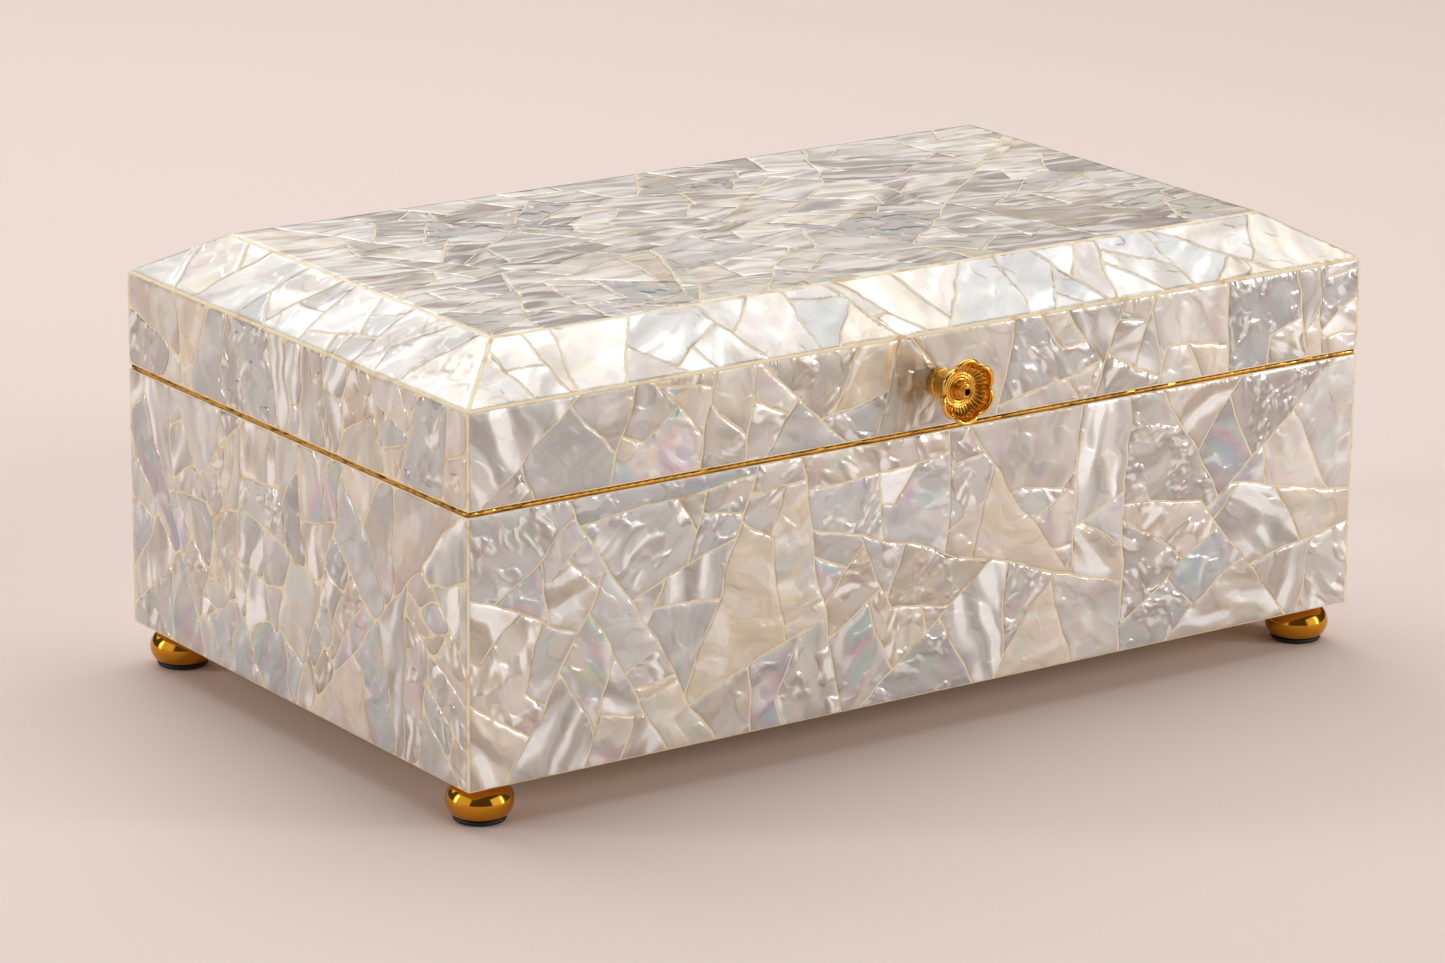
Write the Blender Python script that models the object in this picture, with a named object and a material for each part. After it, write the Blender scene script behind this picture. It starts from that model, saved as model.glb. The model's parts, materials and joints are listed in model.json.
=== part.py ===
"""Jewelry box clad in mother of pearl, with a hipped lid, a brass seam band, a cast flower knob and ball feet.

Metres, +Z up. The origin is on the floor, under the middle of the whole box with its knob.
+X runs along the length of the box, and the knob is on the -Y side.
"""

import math

import bmesh
import bpy
from mathutils import Matrix, Vector

# Space left between pieces that rest on or are screwed to each other
CLEARANCE = 0.0003

# Box base and lid
BOX_LENGTH = 0.305
BOX_DEPTH = 0.178
BASE_HEIGHT = 0.0757
LID_SIDE_HEIGHT = 0.0270
SLOPE_RUN = 0.0211
SLOPE_RISE = 0.01225
WALL = 0.008
BASE_FLOOR = 0.007
EDGE_EASE = 0.0008

# Brass band in the seam between base and lid
BAND_HEIGHT = 0.0009
BAND_RECESS = 0.00045
BAND_ROUNDNESS = 0.4

# Ball feet and their rubber pads
FOOT_DIAMETER = 0.0186
FOOT_HEIGHT = 0.0091
FOOT_NECK_DIAMETER = 0.0104
FOOT_INSET = 0.0100
PAD_DIAMETER = 0.0146
PAD_THICKNESS = 0.0018
PAD_EDGE = 0.0012

# Flower knob, measured along its own axis from the lid's front face
KNOB_LENGTH = 0.0138
KNOB_ABOVE_LID_EDGE = 0.0127
DRUM_DIAMETER = 0.0087
DRUM_LENGTH = 0.0026
DRUM_EDGE = 0.0007
WAIST_DIAMETER = 0.0074
NECK_DIAMETER = 0.0090
NECK_LENGTH = 0.0070
FLOWER_DIAMETER = 0.0188
PETALS = 6
PETAL_ROUNDNESS = 0.41
PETAL_DIP = 0.0010
PETAL_RIDGE = 0.0005
PETAL_FLARE = 1.6
RIM_THICKNESS = 0.0012
BOWL_DEPTH = 0.0042
BOSS_DIAMETER = 0.0056
BOSS_HEIGHT = 0.0034
BOSS_GROOVES = 3
GROOVE_DEPTH = 0.00025
HOLE_DIAMETER = 0.0015
HOLE_DEPTH = 0.0012

# Fineness of the round pieces
STEPS_PER_PETAL = 10
FOOT_SIDES = 28
FOOT_RINGS = 10
CURVE_RINGS = 4

# Places worked out from the sizes above
FOOT_BOTTOM = PAD_THICKNESS + CLEARANCE
BASE_BOTTOM = FOOT_BOTTOM + FOOT_HEIGHT + CLEARANCE
BASE_TOP = BASE_BOTTOM + BASE_HEIGHT
BAND_BOTTOM = BASE_TOP + CLEARANCE
LID_BOTTOM = BAND_BOTTOM + BAND_HEIGHT + CLEARANCE
BOX_CENTRE_Y = (CLEARANCE + KNOB_LENGTH) / 2
FRONT_FACE_Y = BOX_CENTRE_Y - BOX_DEPTH / 2

# Linear colour, roughness and metallic value of each material
PEARL = ("mother of pearl", (0.72, 0.66, 0.58), 0.22, 0.0)
BAND_BRASS = ("engraved brass", (0.72, 0.42, 0.09), 0.30, 1.0)
KNOB_BRASS = ("cast brass", (0.80, 0.45, 0.08), 0.32, 1.0)
FOOT_BRASS = ("polished brass", (0.78, 0.44, 0.09), 0.10, 1.0)
RUBBER = ("black rubber", (0.012, 0.012, 0.012), 0.70, 0.0)


def clear_scene():
    for obj in list(bpy.data.objects):
        bpy.data.objects.remove(obj, do_unlink=True)


def material_of(name, colour, roughness, metallic):
    material = bpy.data.materials.get(name)
    if material:
        return material
    material = bpy.data.materials.new(name)
    material.use_nodes = True
    shader = material.node_tree.nodes["Principled BSDF"]
    shader.inputs["Base Color"].default_value = (*colour, 1.0)
    shader.inputs["Roughness"].default_value = roughness
    shader.inputs["Metallic"].default_value = metallic
    return material


def add_piece(name, bm, finish, location=(0, 0, 0), rotation=(0, 0, 0)):
    """Turn a finished bmesh into a named object with its own material, placed in the scene."""
    bmesh.ops.recalc_face_normals(bm, faces=bm.faces)
    mesh = bpy.data.meshes.new(name)
    bm.to_mesh(mesh)
    bm.free()
    mesh.shade_smooth()
    mesh.set_sharp_from_angle(angle=math.radians(35))
    mesh.materials.append(material_of(*finish))
    obj = bpy.data.objects.new(name, mesh)
    obj.location = location
    obj.rotation_euler = rotation
    bpy.context.scene.collection.objects.link(obj)
    return obj


def block(length, depth, height):
    """A cuboid standing on z = 0, centred in x and y."""
    bm = bmesh.new()
    place = Matrix.Translation((0, 0, height / 2)) @ Matrix.Diagonal((length, depth, height, 1))
    bmesh.ops.create_cube(bm, size=1, matrix=place)
    return bm


def end_face(bm, direction):
    """The face of a block that faces up (+1) or down (-1)."""
    bm.normal_update()
    return max(bm.faces, key=lambda face: (round(face.normal.z * direction, 3), face.calc_area()))


def extruded(bm, face, keep=False):
    """Extrude one face where it is and return the new one. The old one goes, unless it closes the skin."""
    grown = bmesh.ops.extrude_face_region(bm, geom=[face])["geom"]
    if not keep:
        bmesh.ops.delete(bm, geom=[face], context="FACES_ONLY")
    return next(item for item in grown if isinstance(item, bmesh.types.BMFace))


def draw_out(bm, face, rise, shrink=0.0):
    """Extrude a level face by rise, and draw each of its four sides in by shrink."""
    grown = extruded(bm, face)
    for corner in grown.verts:
        corner.co.x -= math.copysign(shrink, corner.co.x)
        corner.co.y -= math.copysign(shrink, corner.co.y)
        corner.co.z += rise
    return grown


def ease_edges(bm, corners):
    """Round every edge that runs between two of the given outer corners."""
    edges = [edge for edge in bm.edges if all(vert in corners for vert in edge.verts)]
    bmesh.ops.bevel(bm, geom=edges, offset=EDGE_EASE, segments=2, profile=0.5, affect="EDGES")


def make_base():
    """Open box: a block whose top is inset by the wall and sunk to the floor panel."""
    bm = block(BOX_LENGTH, BOX_DEPTH, BASE_HEIGHT)
    outside = set(bm.verts)
    top = end_face(bm, 1)
    bmesh.ops.inset_region(bm, faces=[top], thickness=WALL)
    draw_out(bm, top, BASE_FLOOR - BASE_HEIGHT)
    ease_edges(bm, outside)
    return add_piece("box_base", bm, PEARL, (0, BOX_CENTRE_Y, BASE_BOTTOM))


def make_lid():
    """Hipped lid: upright sides, four slopes and a level top, with a hollow that keeps the wall all round."""
    slope = math.atan2(SLOPE_RISE, SLOPE_RUN)
    inner_side_height = LID_SIDE_HEIGHT - WALL * (1 - math.sin(slope)) / math.cos(slope)
    inner_rise = LID_SIDE_HEIGHT + SLOPE_RISE - WALL - inner_side_height
    inner_run = inner_rise / math.tan(slope)

    bm = block(BOX_LENGTH, BOX_DEPTH, LID_SIDE_HEIGHT)
    draw_out(bm, end_face(bm, 1), SLOPE_RISE, SLOPE_RUN)
    outside = set(bm.verts)
    mouth = end_face(bm, -1)
    bmesh.ops.inset_region(bm, faces=[mouth], thickness=WALL)
    ceiling = draw_out(bm, mouth, inner_side_height)
    draw_out(bm, ceiling, inner_rise, inner_run)
    ease_edges(bm, outside)
    return add_piece("lid", bm, PEARL, (0, BOX_CENTRE_Y, LID_BOTTOM))


def make_seam_band():
    """Flat brass ring with a rounded outer edge, lying on the rim of the base inside both its faces."""
    length = BOX_LENGTH - 2 * BAND_RECESS
    depth = BOX_DEPTH - 2 * BAND_RECESS
    rounding = BAND_ROUNDNESS * BAND_HEIGHT
    bm = block(length, depth, BAND_HEIGHT)
    long_edges = [edge for edge in bm.edges if edge.calc_length() > 2 * BAND_HEIGHT]
    bmesh.ops.bevel(bm, geom=long_edges, offset=rounding, segments=2, profile=0.5, affect="EDGES")
    faces = [end_face(bm, 1), end_face(bm, -1)]
    for face in faces:
        bmesh.ops.inset_region(bm, faces=[face], thickness=WALL - 2 * BAND_RECESS - rounding)
    rims = [edge for face in faces for edge in face.edges]
    bmesh.ops.delete(bm, geom=faces, context="FACES_ONLY")
    bmesh.ops.bridge_loops(bm, edges=rims)
    return add_piece("seam_band", bm, BAND_BRASS, (0, BOX_CENTRE_Y, BAND_BOTTOM))


def turned_skin(sides, rings_at):
    """Closed skin around the z axis: rings_at(angle) gives (radius, height) of each ring, bottom to end."""
    angles = [math.tau * step / sides for step in range(sides)]
    columns = [rings_at(angle) for angle in angles]
    bm = bmesh.new()
    bmesh.ops.create_circle(bm, cap_ends=True, segments=sides, radius=1)
    bm.faces.ensure_lookup_table()
    cap = bm.faces[0]
    for ring in range(len(columns[0])):
        if ring:
            cap = extruded(bm, cap, keep=ring == 1)
        for vert in cap.verts:
            step = round(math.atan2(vert.co.y, vert.co.x) * sides / math.tau) % sides
            radius, height = columns[step][ring]
            spot = (radius * math.cos(angles[step]), radius * math.sin(angles[step]), height)
            vert.co = Vector(spot)
    return bm


def arc(start, end, steps):
    """The angles in between and at the end of an arc, without its start."""
    return [start + (end - start) * step / steps for step in range(1, steps + 1)]


def foot_rings(_angle):
    """Squashed ball, cut level at the neck above and at the pad below."""
    radius = FOOT_DIAMETER / 2
    low = -math.acos(PAD_DIAMETER / FOOT_DIAMETER)
    high = math.acos(FOOT_NECK_DIAMETER / FOOT_DIAMETER)
    half_height = FOOT_HEIGHT / (math.sin(high) - math.sin(low))
    turns = [low] + arc(low, high, FOOT_RINGS)
    return [(radius * math.cos(turn), half_height * (math.sin(turn) - math.sin(low))) for turn in turns]


def pad_rings(_angle):
    """Rubber disc with a rounded lower edge."""
    flat = PAD_DIAMETER / 2 - PAD_EDGE
    rings = [(flat, 0.0)]
    for turn in arc(0, math.pi / 2, CURVE_RINGS - 1):
        rings.append((flat + PAD_EDGE * math.sin(turn), PAD_EDGE * (1 - math.cos(turn))))
    return rings + [(PAD_DIAMETER / 2, PAD_THICKNESS)]


def make_feet():
    """A ball foot and its pad under each corner of the base."""
    reach_x = BOX_LENGTH / 2 - FOOT_INSET
    reach_y = BOX_DEPTH / 2 - FOOT_INSET
    for depth_word, y in (("front", BOX_CENTRE_Y - reach_y), ("back", BOX_CENTRE_Y + reach_y)):
        for side_word, x in (("left", -reach_x), ("right", reach_x)):
            corner = f"{depth_word}_{side_word}"
            ball = turned_skin(FOOT_SIDES, foot_rings)
            add_piece(f"foot_{corner}", ball, FOOT_BRASS, (x, y, FOOT_BOTTOM))
            pad = turned_skin(FOOT_SIDES, pad_rings)
            add_piece(f"foot_pad_{corner}", pad, RUBBER, (x, y, 0))


def across_petal(angle):
    """0 on a petal's middle line, 1 on the crease to the next petal. One petal points straight up."""
    pitch = math.tau / PETALS
    return abs((angle - math.pi / 2 + pitch / 2) % pitch - pitch / 2) / (pitch / 2)


def flower_radius(angle):
    """Outline of the flower: each petal is an arc of a circle of its own."""
    lobe = PETAL_ROUNDNESS * FLOWER_DIAMETER / 2
    centre = FLOWER_DIAMETER / 2 - lobe
    turn = across_petal(angle) * math.pi / PETALS
    return centre * math.cos(turn) + math.sqrt(lobe**2 - (centre * math.sin(turn)) ** 2)


def stem_rings():
    """Drum against the lid with a rounded edge, then a waist, and a neck that flares towards the flower."""
    drum = DRUM_DIAMETER / 2
    waist = WAIST_DIAMETER / 2
    neck = NECK_DIAMETER / 2
    rings = [(drum - DRUM_EDGE, 0.0)]
    for turn in arc(0, math.pi / 2, 2):
        rings.append((drum - DRUM_EDGE * (1 - math.sin(turn)), DRUM_EDGE * (1 - math.cos(turn))))
    rings.append((drum, DRUM_LENGTH))
    half = (NECK_LENGTH - DRUM_LENGTH) / 2
    for turn in arc(0, math.pi, 2 * CURVE_RINGS - 2):
        end = drum if turn < math.pi / 2 else neck
        rings.append((end - (end - waist) * math.sin(turn), DRUM_LENGTH + half * (1 - math.cos(turn))))
    return rings


def flower_rings(angle):
    """Back of the petals, their rolled rim and the scooped bowl inside, at one angle."""
    crease = across_petal(angle)
    outline = flower_radius(angle)
    neck = NECK_DIAMETER / 2
    roll = RIM_THICKNESS / 2
    rim_middle = KNOB_LENGTH - roll - PETAL_DIP * crease**4
    rings = []
    for step in range(1, CURVE_RINGS + 1):
        out = step / CURVE_RINGS
        rings.append((neck + (outline - neck) * out, NECK_LENGTH + (rim_middle - NECK_LENGTH) * out**PETAL_FLARE))
    for turn in arc(0, math.pi, CURVE_RINGS):
        rings.append((outline - roll + roll * math.cos(turn), rim_middle + roll * math.sin(turn)))
    boss = BOSS_DIAMETER / 2
    wall = outline - RIM_THICKNESS
    floor = KNOB_LENGTH - BOWL_DEPTH
    for turn in arc(math.pi / 2, 0, CURVE_RINGS):
        scoop = floor + (rim_middle - floor) * (1 - math.cos(turn))
        ridge = PETAL_RIDGE * crease**2 * math.sin(2 * turn)
        rings.append((boss + (wall - boss) * math.sin(turn), scoop + ridge))
    return rings


def boss_rings():
    """Domed boss in the middle of the flower, with turned grooves and a small blind hole."""
    boss = BOSS_DIAMETER / 2
    hole = HOLE_DIAMETER / 2
    floor = KNOB_LENGTH - BOWL_DEPTH
    top_turn = math.acos(hole / boss)
    lift = BOSS_HEIGHT / math.sin(top_turn)
    rings = []
    for step, turn in enumerate(arc(0, top_turn, 2 * BOSS_GROOVES + 1), start=1):
        sink = 1 - GROOVE_DEPTH / boss if step % 2 == 0 else 1
        rings.append((boss * math.cos(turn) * sink, floor + lift * math.sin(turn) * sink))
    rings.append((hole, floor + BOSS_HEIGHT - HOLE_DEPTH))
    return rings


def knob_rings(angle):
    return stem_rings() + flower_rings(angle) + boss_rings()


def make_knob():
    """One casting on the lid's front, its axis pointing to -Y and one petal straight up."""
    skin = turned_skin(PETALS * STEPS_PER_PETAL, knob_rings)
    place = (0, FRONT_FACE_Y - CLEARANCE, LID_BOTTOM + KNOB_ABOVE_LID_EDGE)
    add_piece("flower_knob", skin, KNOB_BRASS, place, (math.pi / 2, 0, 0))


clear_scene()
make_base()
make_lid()
make_seam_band()
make_knob()
make_feet()
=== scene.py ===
"""Looks of a jewelry box clad in mother of pearl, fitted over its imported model.

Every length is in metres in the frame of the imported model: +X along the box, the knob on the -Y side, +Z up.
Each finished piece has its object at the origin and its place in its mesh.
"""

import sys

import json
import logging
import math
import random
from collections.abc import Callable, Iterator, Sequence
from contextlib import contextmanager
from dataclasses import dataclass
from enum import Enum
from functools import partial

import bmesh
import bpy
import numpy as np
from bmesh.types import BMEdge, BMesh, BMLayerItem
from bpy.types import Material, Node, NodeSocket, NodeTree, Object, Texture
from mathutils import Matrix, Vector

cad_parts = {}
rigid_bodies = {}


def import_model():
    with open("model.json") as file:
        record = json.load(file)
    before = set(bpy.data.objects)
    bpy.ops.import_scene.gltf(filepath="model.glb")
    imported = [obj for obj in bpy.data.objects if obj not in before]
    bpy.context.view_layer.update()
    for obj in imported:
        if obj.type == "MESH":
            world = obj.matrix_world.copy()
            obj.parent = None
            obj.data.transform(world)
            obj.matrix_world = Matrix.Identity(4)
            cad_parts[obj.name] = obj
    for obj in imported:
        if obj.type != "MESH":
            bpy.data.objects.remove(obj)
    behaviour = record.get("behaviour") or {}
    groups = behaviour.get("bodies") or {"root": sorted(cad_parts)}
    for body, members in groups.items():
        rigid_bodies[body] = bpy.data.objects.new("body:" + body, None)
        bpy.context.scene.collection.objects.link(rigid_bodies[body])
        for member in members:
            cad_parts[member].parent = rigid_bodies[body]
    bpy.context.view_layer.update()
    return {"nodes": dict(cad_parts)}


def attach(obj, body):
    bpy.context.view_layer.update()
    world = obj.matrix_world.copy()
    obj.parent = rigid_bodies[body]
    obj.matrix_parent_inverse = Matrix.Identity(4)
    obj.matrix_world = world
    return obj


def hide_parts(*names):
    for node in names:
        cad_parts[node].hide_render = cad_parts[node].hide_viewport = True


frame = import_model()

log = logging.getLogger("jewelry_box")

MM = 0.001
TINY = 1e-6
# Points closer than this are one point
WELD = 0.002 * MM
# Growth maps of two shards lie up to this far apart, in metres, so that no two shards show the same spot
MAP_REACH = 40.0
# A face looks out of its panel when its normal's z is over this
FACING_OUT = 0.3

# The box as packed
BOX_HALF_LENGTH = 152.5 * MM
FRONT_Y = -81.95 * MM
BACK_Y = 96.05 * MM
MIDDLE_Y = (FRONT_Y + BACK_Y) / 2
BOX_HALF_DEPTH = (BACK_Y - FRONT_Y) / 2
BASE_BOTTOM = 11.5 * MM
BASE_TOP = 87.2 * MM
LID_BOTTOM = 88.7 * MM
SHOULDER = 115.7 * MM
LID_TOP = 127.95 * MM
SLOPE_RUN = 21.1 * MM

# Turns what was made lying down to face the front
UPRIGHT = Matrix.Rotation(math.radians(90), 4, "X")


def linear(code: str) -> tuple[float, float, float, float]:
    """Turns an sRGB hex code into the linear colour that a shader takes.

    Args:
        code: Six hex digits after a hash sign.

    Returns:
        Red, green, blue and an alpha of one.
    """
    parts = [int(code[start:start + 2], 16) / 255 for start in (1, 3, 5)]
    red, green, blue = (part / 12.92 if part <= 0.04045 else ((part + 0.055) / 1.055) ** 2.4 for part in parts)
    return red, green, blue, 1.0


class Part(Enum):
    """What a choice in edit mode is made of."""

    VERTS = "VERT"
    EDGES = "EDGE"
    FACES = "FACE"


class Axis(Enum):
    """The way along which a surface is displaced."""

    X = "X"
    Y = "Y"
    Z = "Z"


class Grain(Enum):
    """The two kinds of relief that shape the shell."""

    CLOUDS = "CLOUDS"
    MARBLE = "MARBLE"


class Side(Enum):
    """An upright side of the box, by its turn from the front in degrees."""

    FRONT = 0
    LEFT = 270
    BACK = 180
    RIGHT = 90


def pick(piece: Object) -> None:
    """Makes one piece the active one and the only one that is chosen.

    Args:
        piece: The piece, in object mode.
    """
    for obj in bpy.context.scene.objects:
        obj.select_set(obj == piece)
    bpy.context.view_layer.objects.active = piece


def new_sheet(name: str, size: float) -> Object:
    """Adds a flat square at the origin.

    Args:
        name: The new piece's name.
        size: The length of its sides.

    Returns:
        The new piece.
    """
    bpy.ops.mesh.primitive_plane_add(size=size)
    piece = bpy.context.object
    piece.name = piece.data.name = name
    return piece


@contextmanager
def editing(piece: Object) -> Iterator[None]:
    """Opens one piece in edit mode with nothing chosen, and closes it again.

    Args:
        piece: The mesh object to shape.
    """
    pick(piece)
    bpy.ops.object.mode_set(mode="EDIT")
    bpy.ops.mesh.select_all(action="DESELECT")
    try:
        yield
    finally:
        bpy.ops.object.mode_set(mode="OBJECT")


def choose(piece: Object, part: Part, test: Callable[..., bool]) -> int:
    """Selects what passes a test in the piece that is open in edit mode.

    Args:
        piece: The piece in edit mode.
        part: Whether vertices, edges or faces are tested.
        test: Takes one bmesh element and says whether it is chosen.

    Returns:
        How many elements were chosen.
    """
    bpy.ops.mesh.select_mode(type=part.value)
    bpy.ops.mesh.select_all(action="DESELECT")
    skin = bmesh.from_edit_mesh(piece.data)
    skin.normal_update()
    found = 0
    for item in {Part.VERTS: skin.verts, Part.EDGES: skin.edges, Part.FACES: skin.faces}[part]:
        if test(item):
            item.select_set(True)
            found += 1
    bmesh.update_edit_mesh(piece.data)
    return found


def choose_all(part: Part) -> None:
    """Selects the whole of the piece that is open in edit mode, as vertices, edges or faces."""
    bpy.ops.mesh.select_mode(type=part.value)
    bpy.ops.mesh.select_all(action="SELECT")


def close_skin() -> None:
    """Welds the piece that is open in edit mode, closes its open ends and turns its normals out."""
    choose_all(Part.VERTS)
    bpy.ops.mesh.remove_doubles(threshold=WELD)
    bpy.ops.mesh.fill_holes(sides=0)
    choose_all(Part.VERTS)
    bpy.ops.mesh.normals_make_consistent(inside=False)


def new_texture(name: str, grain: Grain, size: float, **settings: object) -> Texture:
    """Makes a procedural relief.

    Args:
        name: What the relief is.
        grain: Its kind.
        size: How wide its forms are.
        settings: The texture's own properties.

    Returns:
        The new texture.
    """
    texture = bpy.data.textures.new(name, grain.value)
    texture.noise_scale = size
    texture.noise_depth = 1
    for key, value in settings.items():
        setattr(texture, key, value)
    return texture


def displace(piece: Object, axis: Axis, strength: float, level: float, group: str,
             texture: Texture | None = None) -> None:
    """Displaces part of a piece along one axis with a modifier, and applies it.

    Args:
        piece: The piece, in object mode.
        axis: The way it is displaced.
        strength: How far the texture's whole range moves it.
        level: The texture's value that stays in place.
        group: The vertex group that it works on.
        texture: The relief, or None for an even shift.
    """
    bpy.context.view_layer.objects.active = piece
    modifier = piece.modifiers.new(f"Displace {group}", "DISPLACE")
    modifier.direction = axis.value
    modifier.strength = strength
    modifier.mid_level = level
    modifier.vertex_group = group
    modifier.texture = texture
    modifier.texture_coords = "LOCAL"
    bpy.ops.object.modifier_apply(modifier=modifier.name)


def set_place(piece: Object, place: Matrix) -> None:
    """Moves and turns a piece, and puts its place into its mesh.

    Args:
        piece: The piece, in object mode.
        place: Where the piece's own axes come to lie.
    """
    pick(piece)
    piece.matrix_world = place
    bpy.ops.object.transform_apply(location=True, rotation=True, scale=True)


def finish_piece(piece: Object, slot: str, *nodes: str, sharp: float = 45.0) -> None:
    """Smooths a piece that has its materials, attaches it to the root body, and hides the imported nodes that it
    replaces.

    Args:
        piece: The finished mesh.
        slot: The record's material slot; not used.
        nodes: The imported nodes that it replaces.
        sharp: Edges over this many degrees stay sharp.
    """
    piece.data.shade_smooth()
    piece.data.set_sharp_from_angle(angle=math.radians(sharp))
    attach(piece, "root")
    if nodes:
        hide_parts(*nodes)
    log.info("%s: %d faces", piece.name, len(piece.data.polygons))


def weigh(piece: Object, name: str, weights: np.ndarray, levels: int = 24) -> None:
    """Gives a piece a vertex group from an array of weights.

    Args:
        piece: The piece, in object mode.
        name: The group's name.
        weights: One weight from 0 to 1 for each vertex.
        levels: How many steps the weights are rounded to.
    """
    group = piece.vertex_groups.new(name=name)
    steps = np.rint(np.clip(weights, 0, 1) * levels).astype(int)
    for step in range(1, levels + 1):
        members = np.nonzero(steps == step)[0]
        if len(members):
            group.add(members.tolist(), step / levels, "REPLACE")


def read(items: Sequence[object], name: str, kind: type = np.float32, width: int = 1) -> np.ndarray:
    """Reads one property of every item of a mesh.

    Args:
        items: Its vertices, faces or corners, or the values of an attribute.
        name: The property.
        kind: The type of its numbers.
        width: How many numbers each item has.

    Returns:
        A row for each item, or a plain array where each has one number.
    """
    values = np.empty(len(items) * width, kind)
    items.foreach_get(name, values)
    return values.reshape(-1, width) if width > 1 else values


def vertex_places(piece: Object) -> np.ndarray:
    """Reads where a piece's vertices are, as a row of x, y and z for each."""
    return read(piece.data.vertices, "co", width=3).astype(float)


def move_vertices(piece: Object, spots: np.ndarray) -> None:
    """Puts a piece's vertices in new places, given as a row of x, y and z for each."""
    piece.data.vertices.foreach_set("co", spots.astype(np.float32).ravel())
    piece.data.update()


def mark_sunk(piece: Object, sunk: np.ndarray) -> None:
    """Notes where tarnish gathers on a piece, as a share from 0 to 1 for each vertex, for its material to read."""
    layer = piece.data.attributes.new("sunk", "FLOAT", "POINT")
    layer.data.foreach_set("value", np.clip(sunk, 0, 1).astype(np.float32))


def smoothstep(value: np.ndarray, low: float, high: float) -> np.ndarray:
    """Eases from 0 where a value is at the low limit to 1 where it is at the high one."""
    share = np.clip((value - low) / (high - low), 0, 1)
    return share * share * (3 - 2 * share)


def depth_inside(spots: np.ndarray, outline: np.ndarray) -> np.ndarray:
    """Measures how far spots lie from the nearest side of an outline.

    Args:
        spots: A row of x and y for each spot.
        outline: A row of x and y for each corner, in order.

    Returns:
        The distance of each spot.
    """
    nearest = np.full(len(spots), np.inf)
    for start, end in zip(outline, np.roll(outline, -1, axis=0)):
        side = end - start
        offset = spots - start
        share = np.clip(offset @ side / max(side @ side, TINY * TINY), 0, 1)
        nearest = np.minimum(nearest, np.linalg.norm(offset - share[:, None] * side, axis=1))
    return nearest


# ---------------------------------------------------------------------------------------------------------------
# Finishes


def fill_inputs(tree: NodeTree, node: Node, inputs: dict[int | str, object]) -> None:
    """Sets or links the inputs of a node.

    Args:
        tree: The material's node tree.
        node: The node.
        inputs: What each open input gets, by its name or place: a value, a socket, or a node's first open output.
    """
    usable = [socket for socket in node.inputs if socket.enabled]
    for key, value in inputs.items():
        socket = usable[key] if isinstance(key, int) else next(entry for entry in usable if entry.name == key)
        if isinstance(value, Node):
            value = next(entry for entry in value.outputs if entry.enabled)
        if isinstance(value, NodeSocket):
            tree.links.new(value, socket)
        else:
            socket.default_value = value


def add_node(tree: NodeTree, kind: str, inputs: dict[int | str, object] | None = None, **settings: object) -> Node:
    """Adds a node with its settings, and sets or links its inputs.

    Args:
        tree: The material's node tree.
        kind: The node's type name, without its ShaderNode prefix.
        inputs: What its inputs get, as fill_inputs takes it.
        settings: The node's own properties.

    Returns:
        The new node.
    """
    node = tree.nodes.new(f"ShaderNode{kind}")
    for name, value in settings.items():
        setattr(node, name, value)
    fill_inputs(tree, node, inputs or {})
    return node


def new_finish(name: str) -> tuple[Material, NodeTree, Node]:
    """Makes an empty node material.

    Args:
        name: What the material is.

    Returns:
        The material, its node tree and its shader.
    """
    material = bpy.data.materials.new(name)
    material.use_nodes = True
    tree = material.node_tree
    return material, tree, tree.nodes["Principled BSDF"]


class Cut(Enum):
    """How a shard of shell was cut, which decides what its face shows."""

    SILKY = "silky_nacre"
    SATIN = "satin_nacre"
    CLOUDY = "cloudy_nacre"
    RIPPLED = "rippled_nacre"
    BLISTERED = "blistered_nacre"
    RAINBOW = "rainbow_nacre"
    HONEY = "honey_nacre"
    STREAKY = "streaky_nacre"


# Length and width across the growth lines, and detail, of each pattern in the shell. Silk lines and polishing grit
# are drawn wider than they are so that they show.
PATTERNS = {
    "cloud": (9 * MM, 9 * MM, 1.5),
    "band": (16 * MM, 6 * MM, 1.5),
    "pool": (24 * MM, 12 * MM, 0.5),
    "patch": (12 * MM, 12 * MM, 1.0),
    "silk": (14 * MM, 0.9 * MM, 1.0),
    "grit": (0.7 * MM, 0.7 * MM, 1.0),
}

# The rainbow's colours in the order that thinning layers show them
RAINBOW_STOPS = ((0.26, "#A3C4B6"), (0.36, "#C2CBC8"), (0.45, "#D7B1B6"), (0.53, "#C0AFC6"),
                 (0.60, "#A9BFC7"), (0.68, "#B8CDB4"), (0.78, "#DFC8B2"))


def fill_ramp(ramp: Node, stops: Sequence[tuple[float, str]]) -> None:
    """Lays colours on a colour ramp.

    Args:
        ramp: The ramp, with two stops of its own.
        stops: The place and the sRGB hex code of each colour, in order.
    """
    elements = ramp.color_ramp.elements
    while len(elements) < len(stops):
        elements.new(0.5)
    for element, (at, code) in zip(elements, stops):
        element.position = at
        element.color = linear(code)


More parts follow.
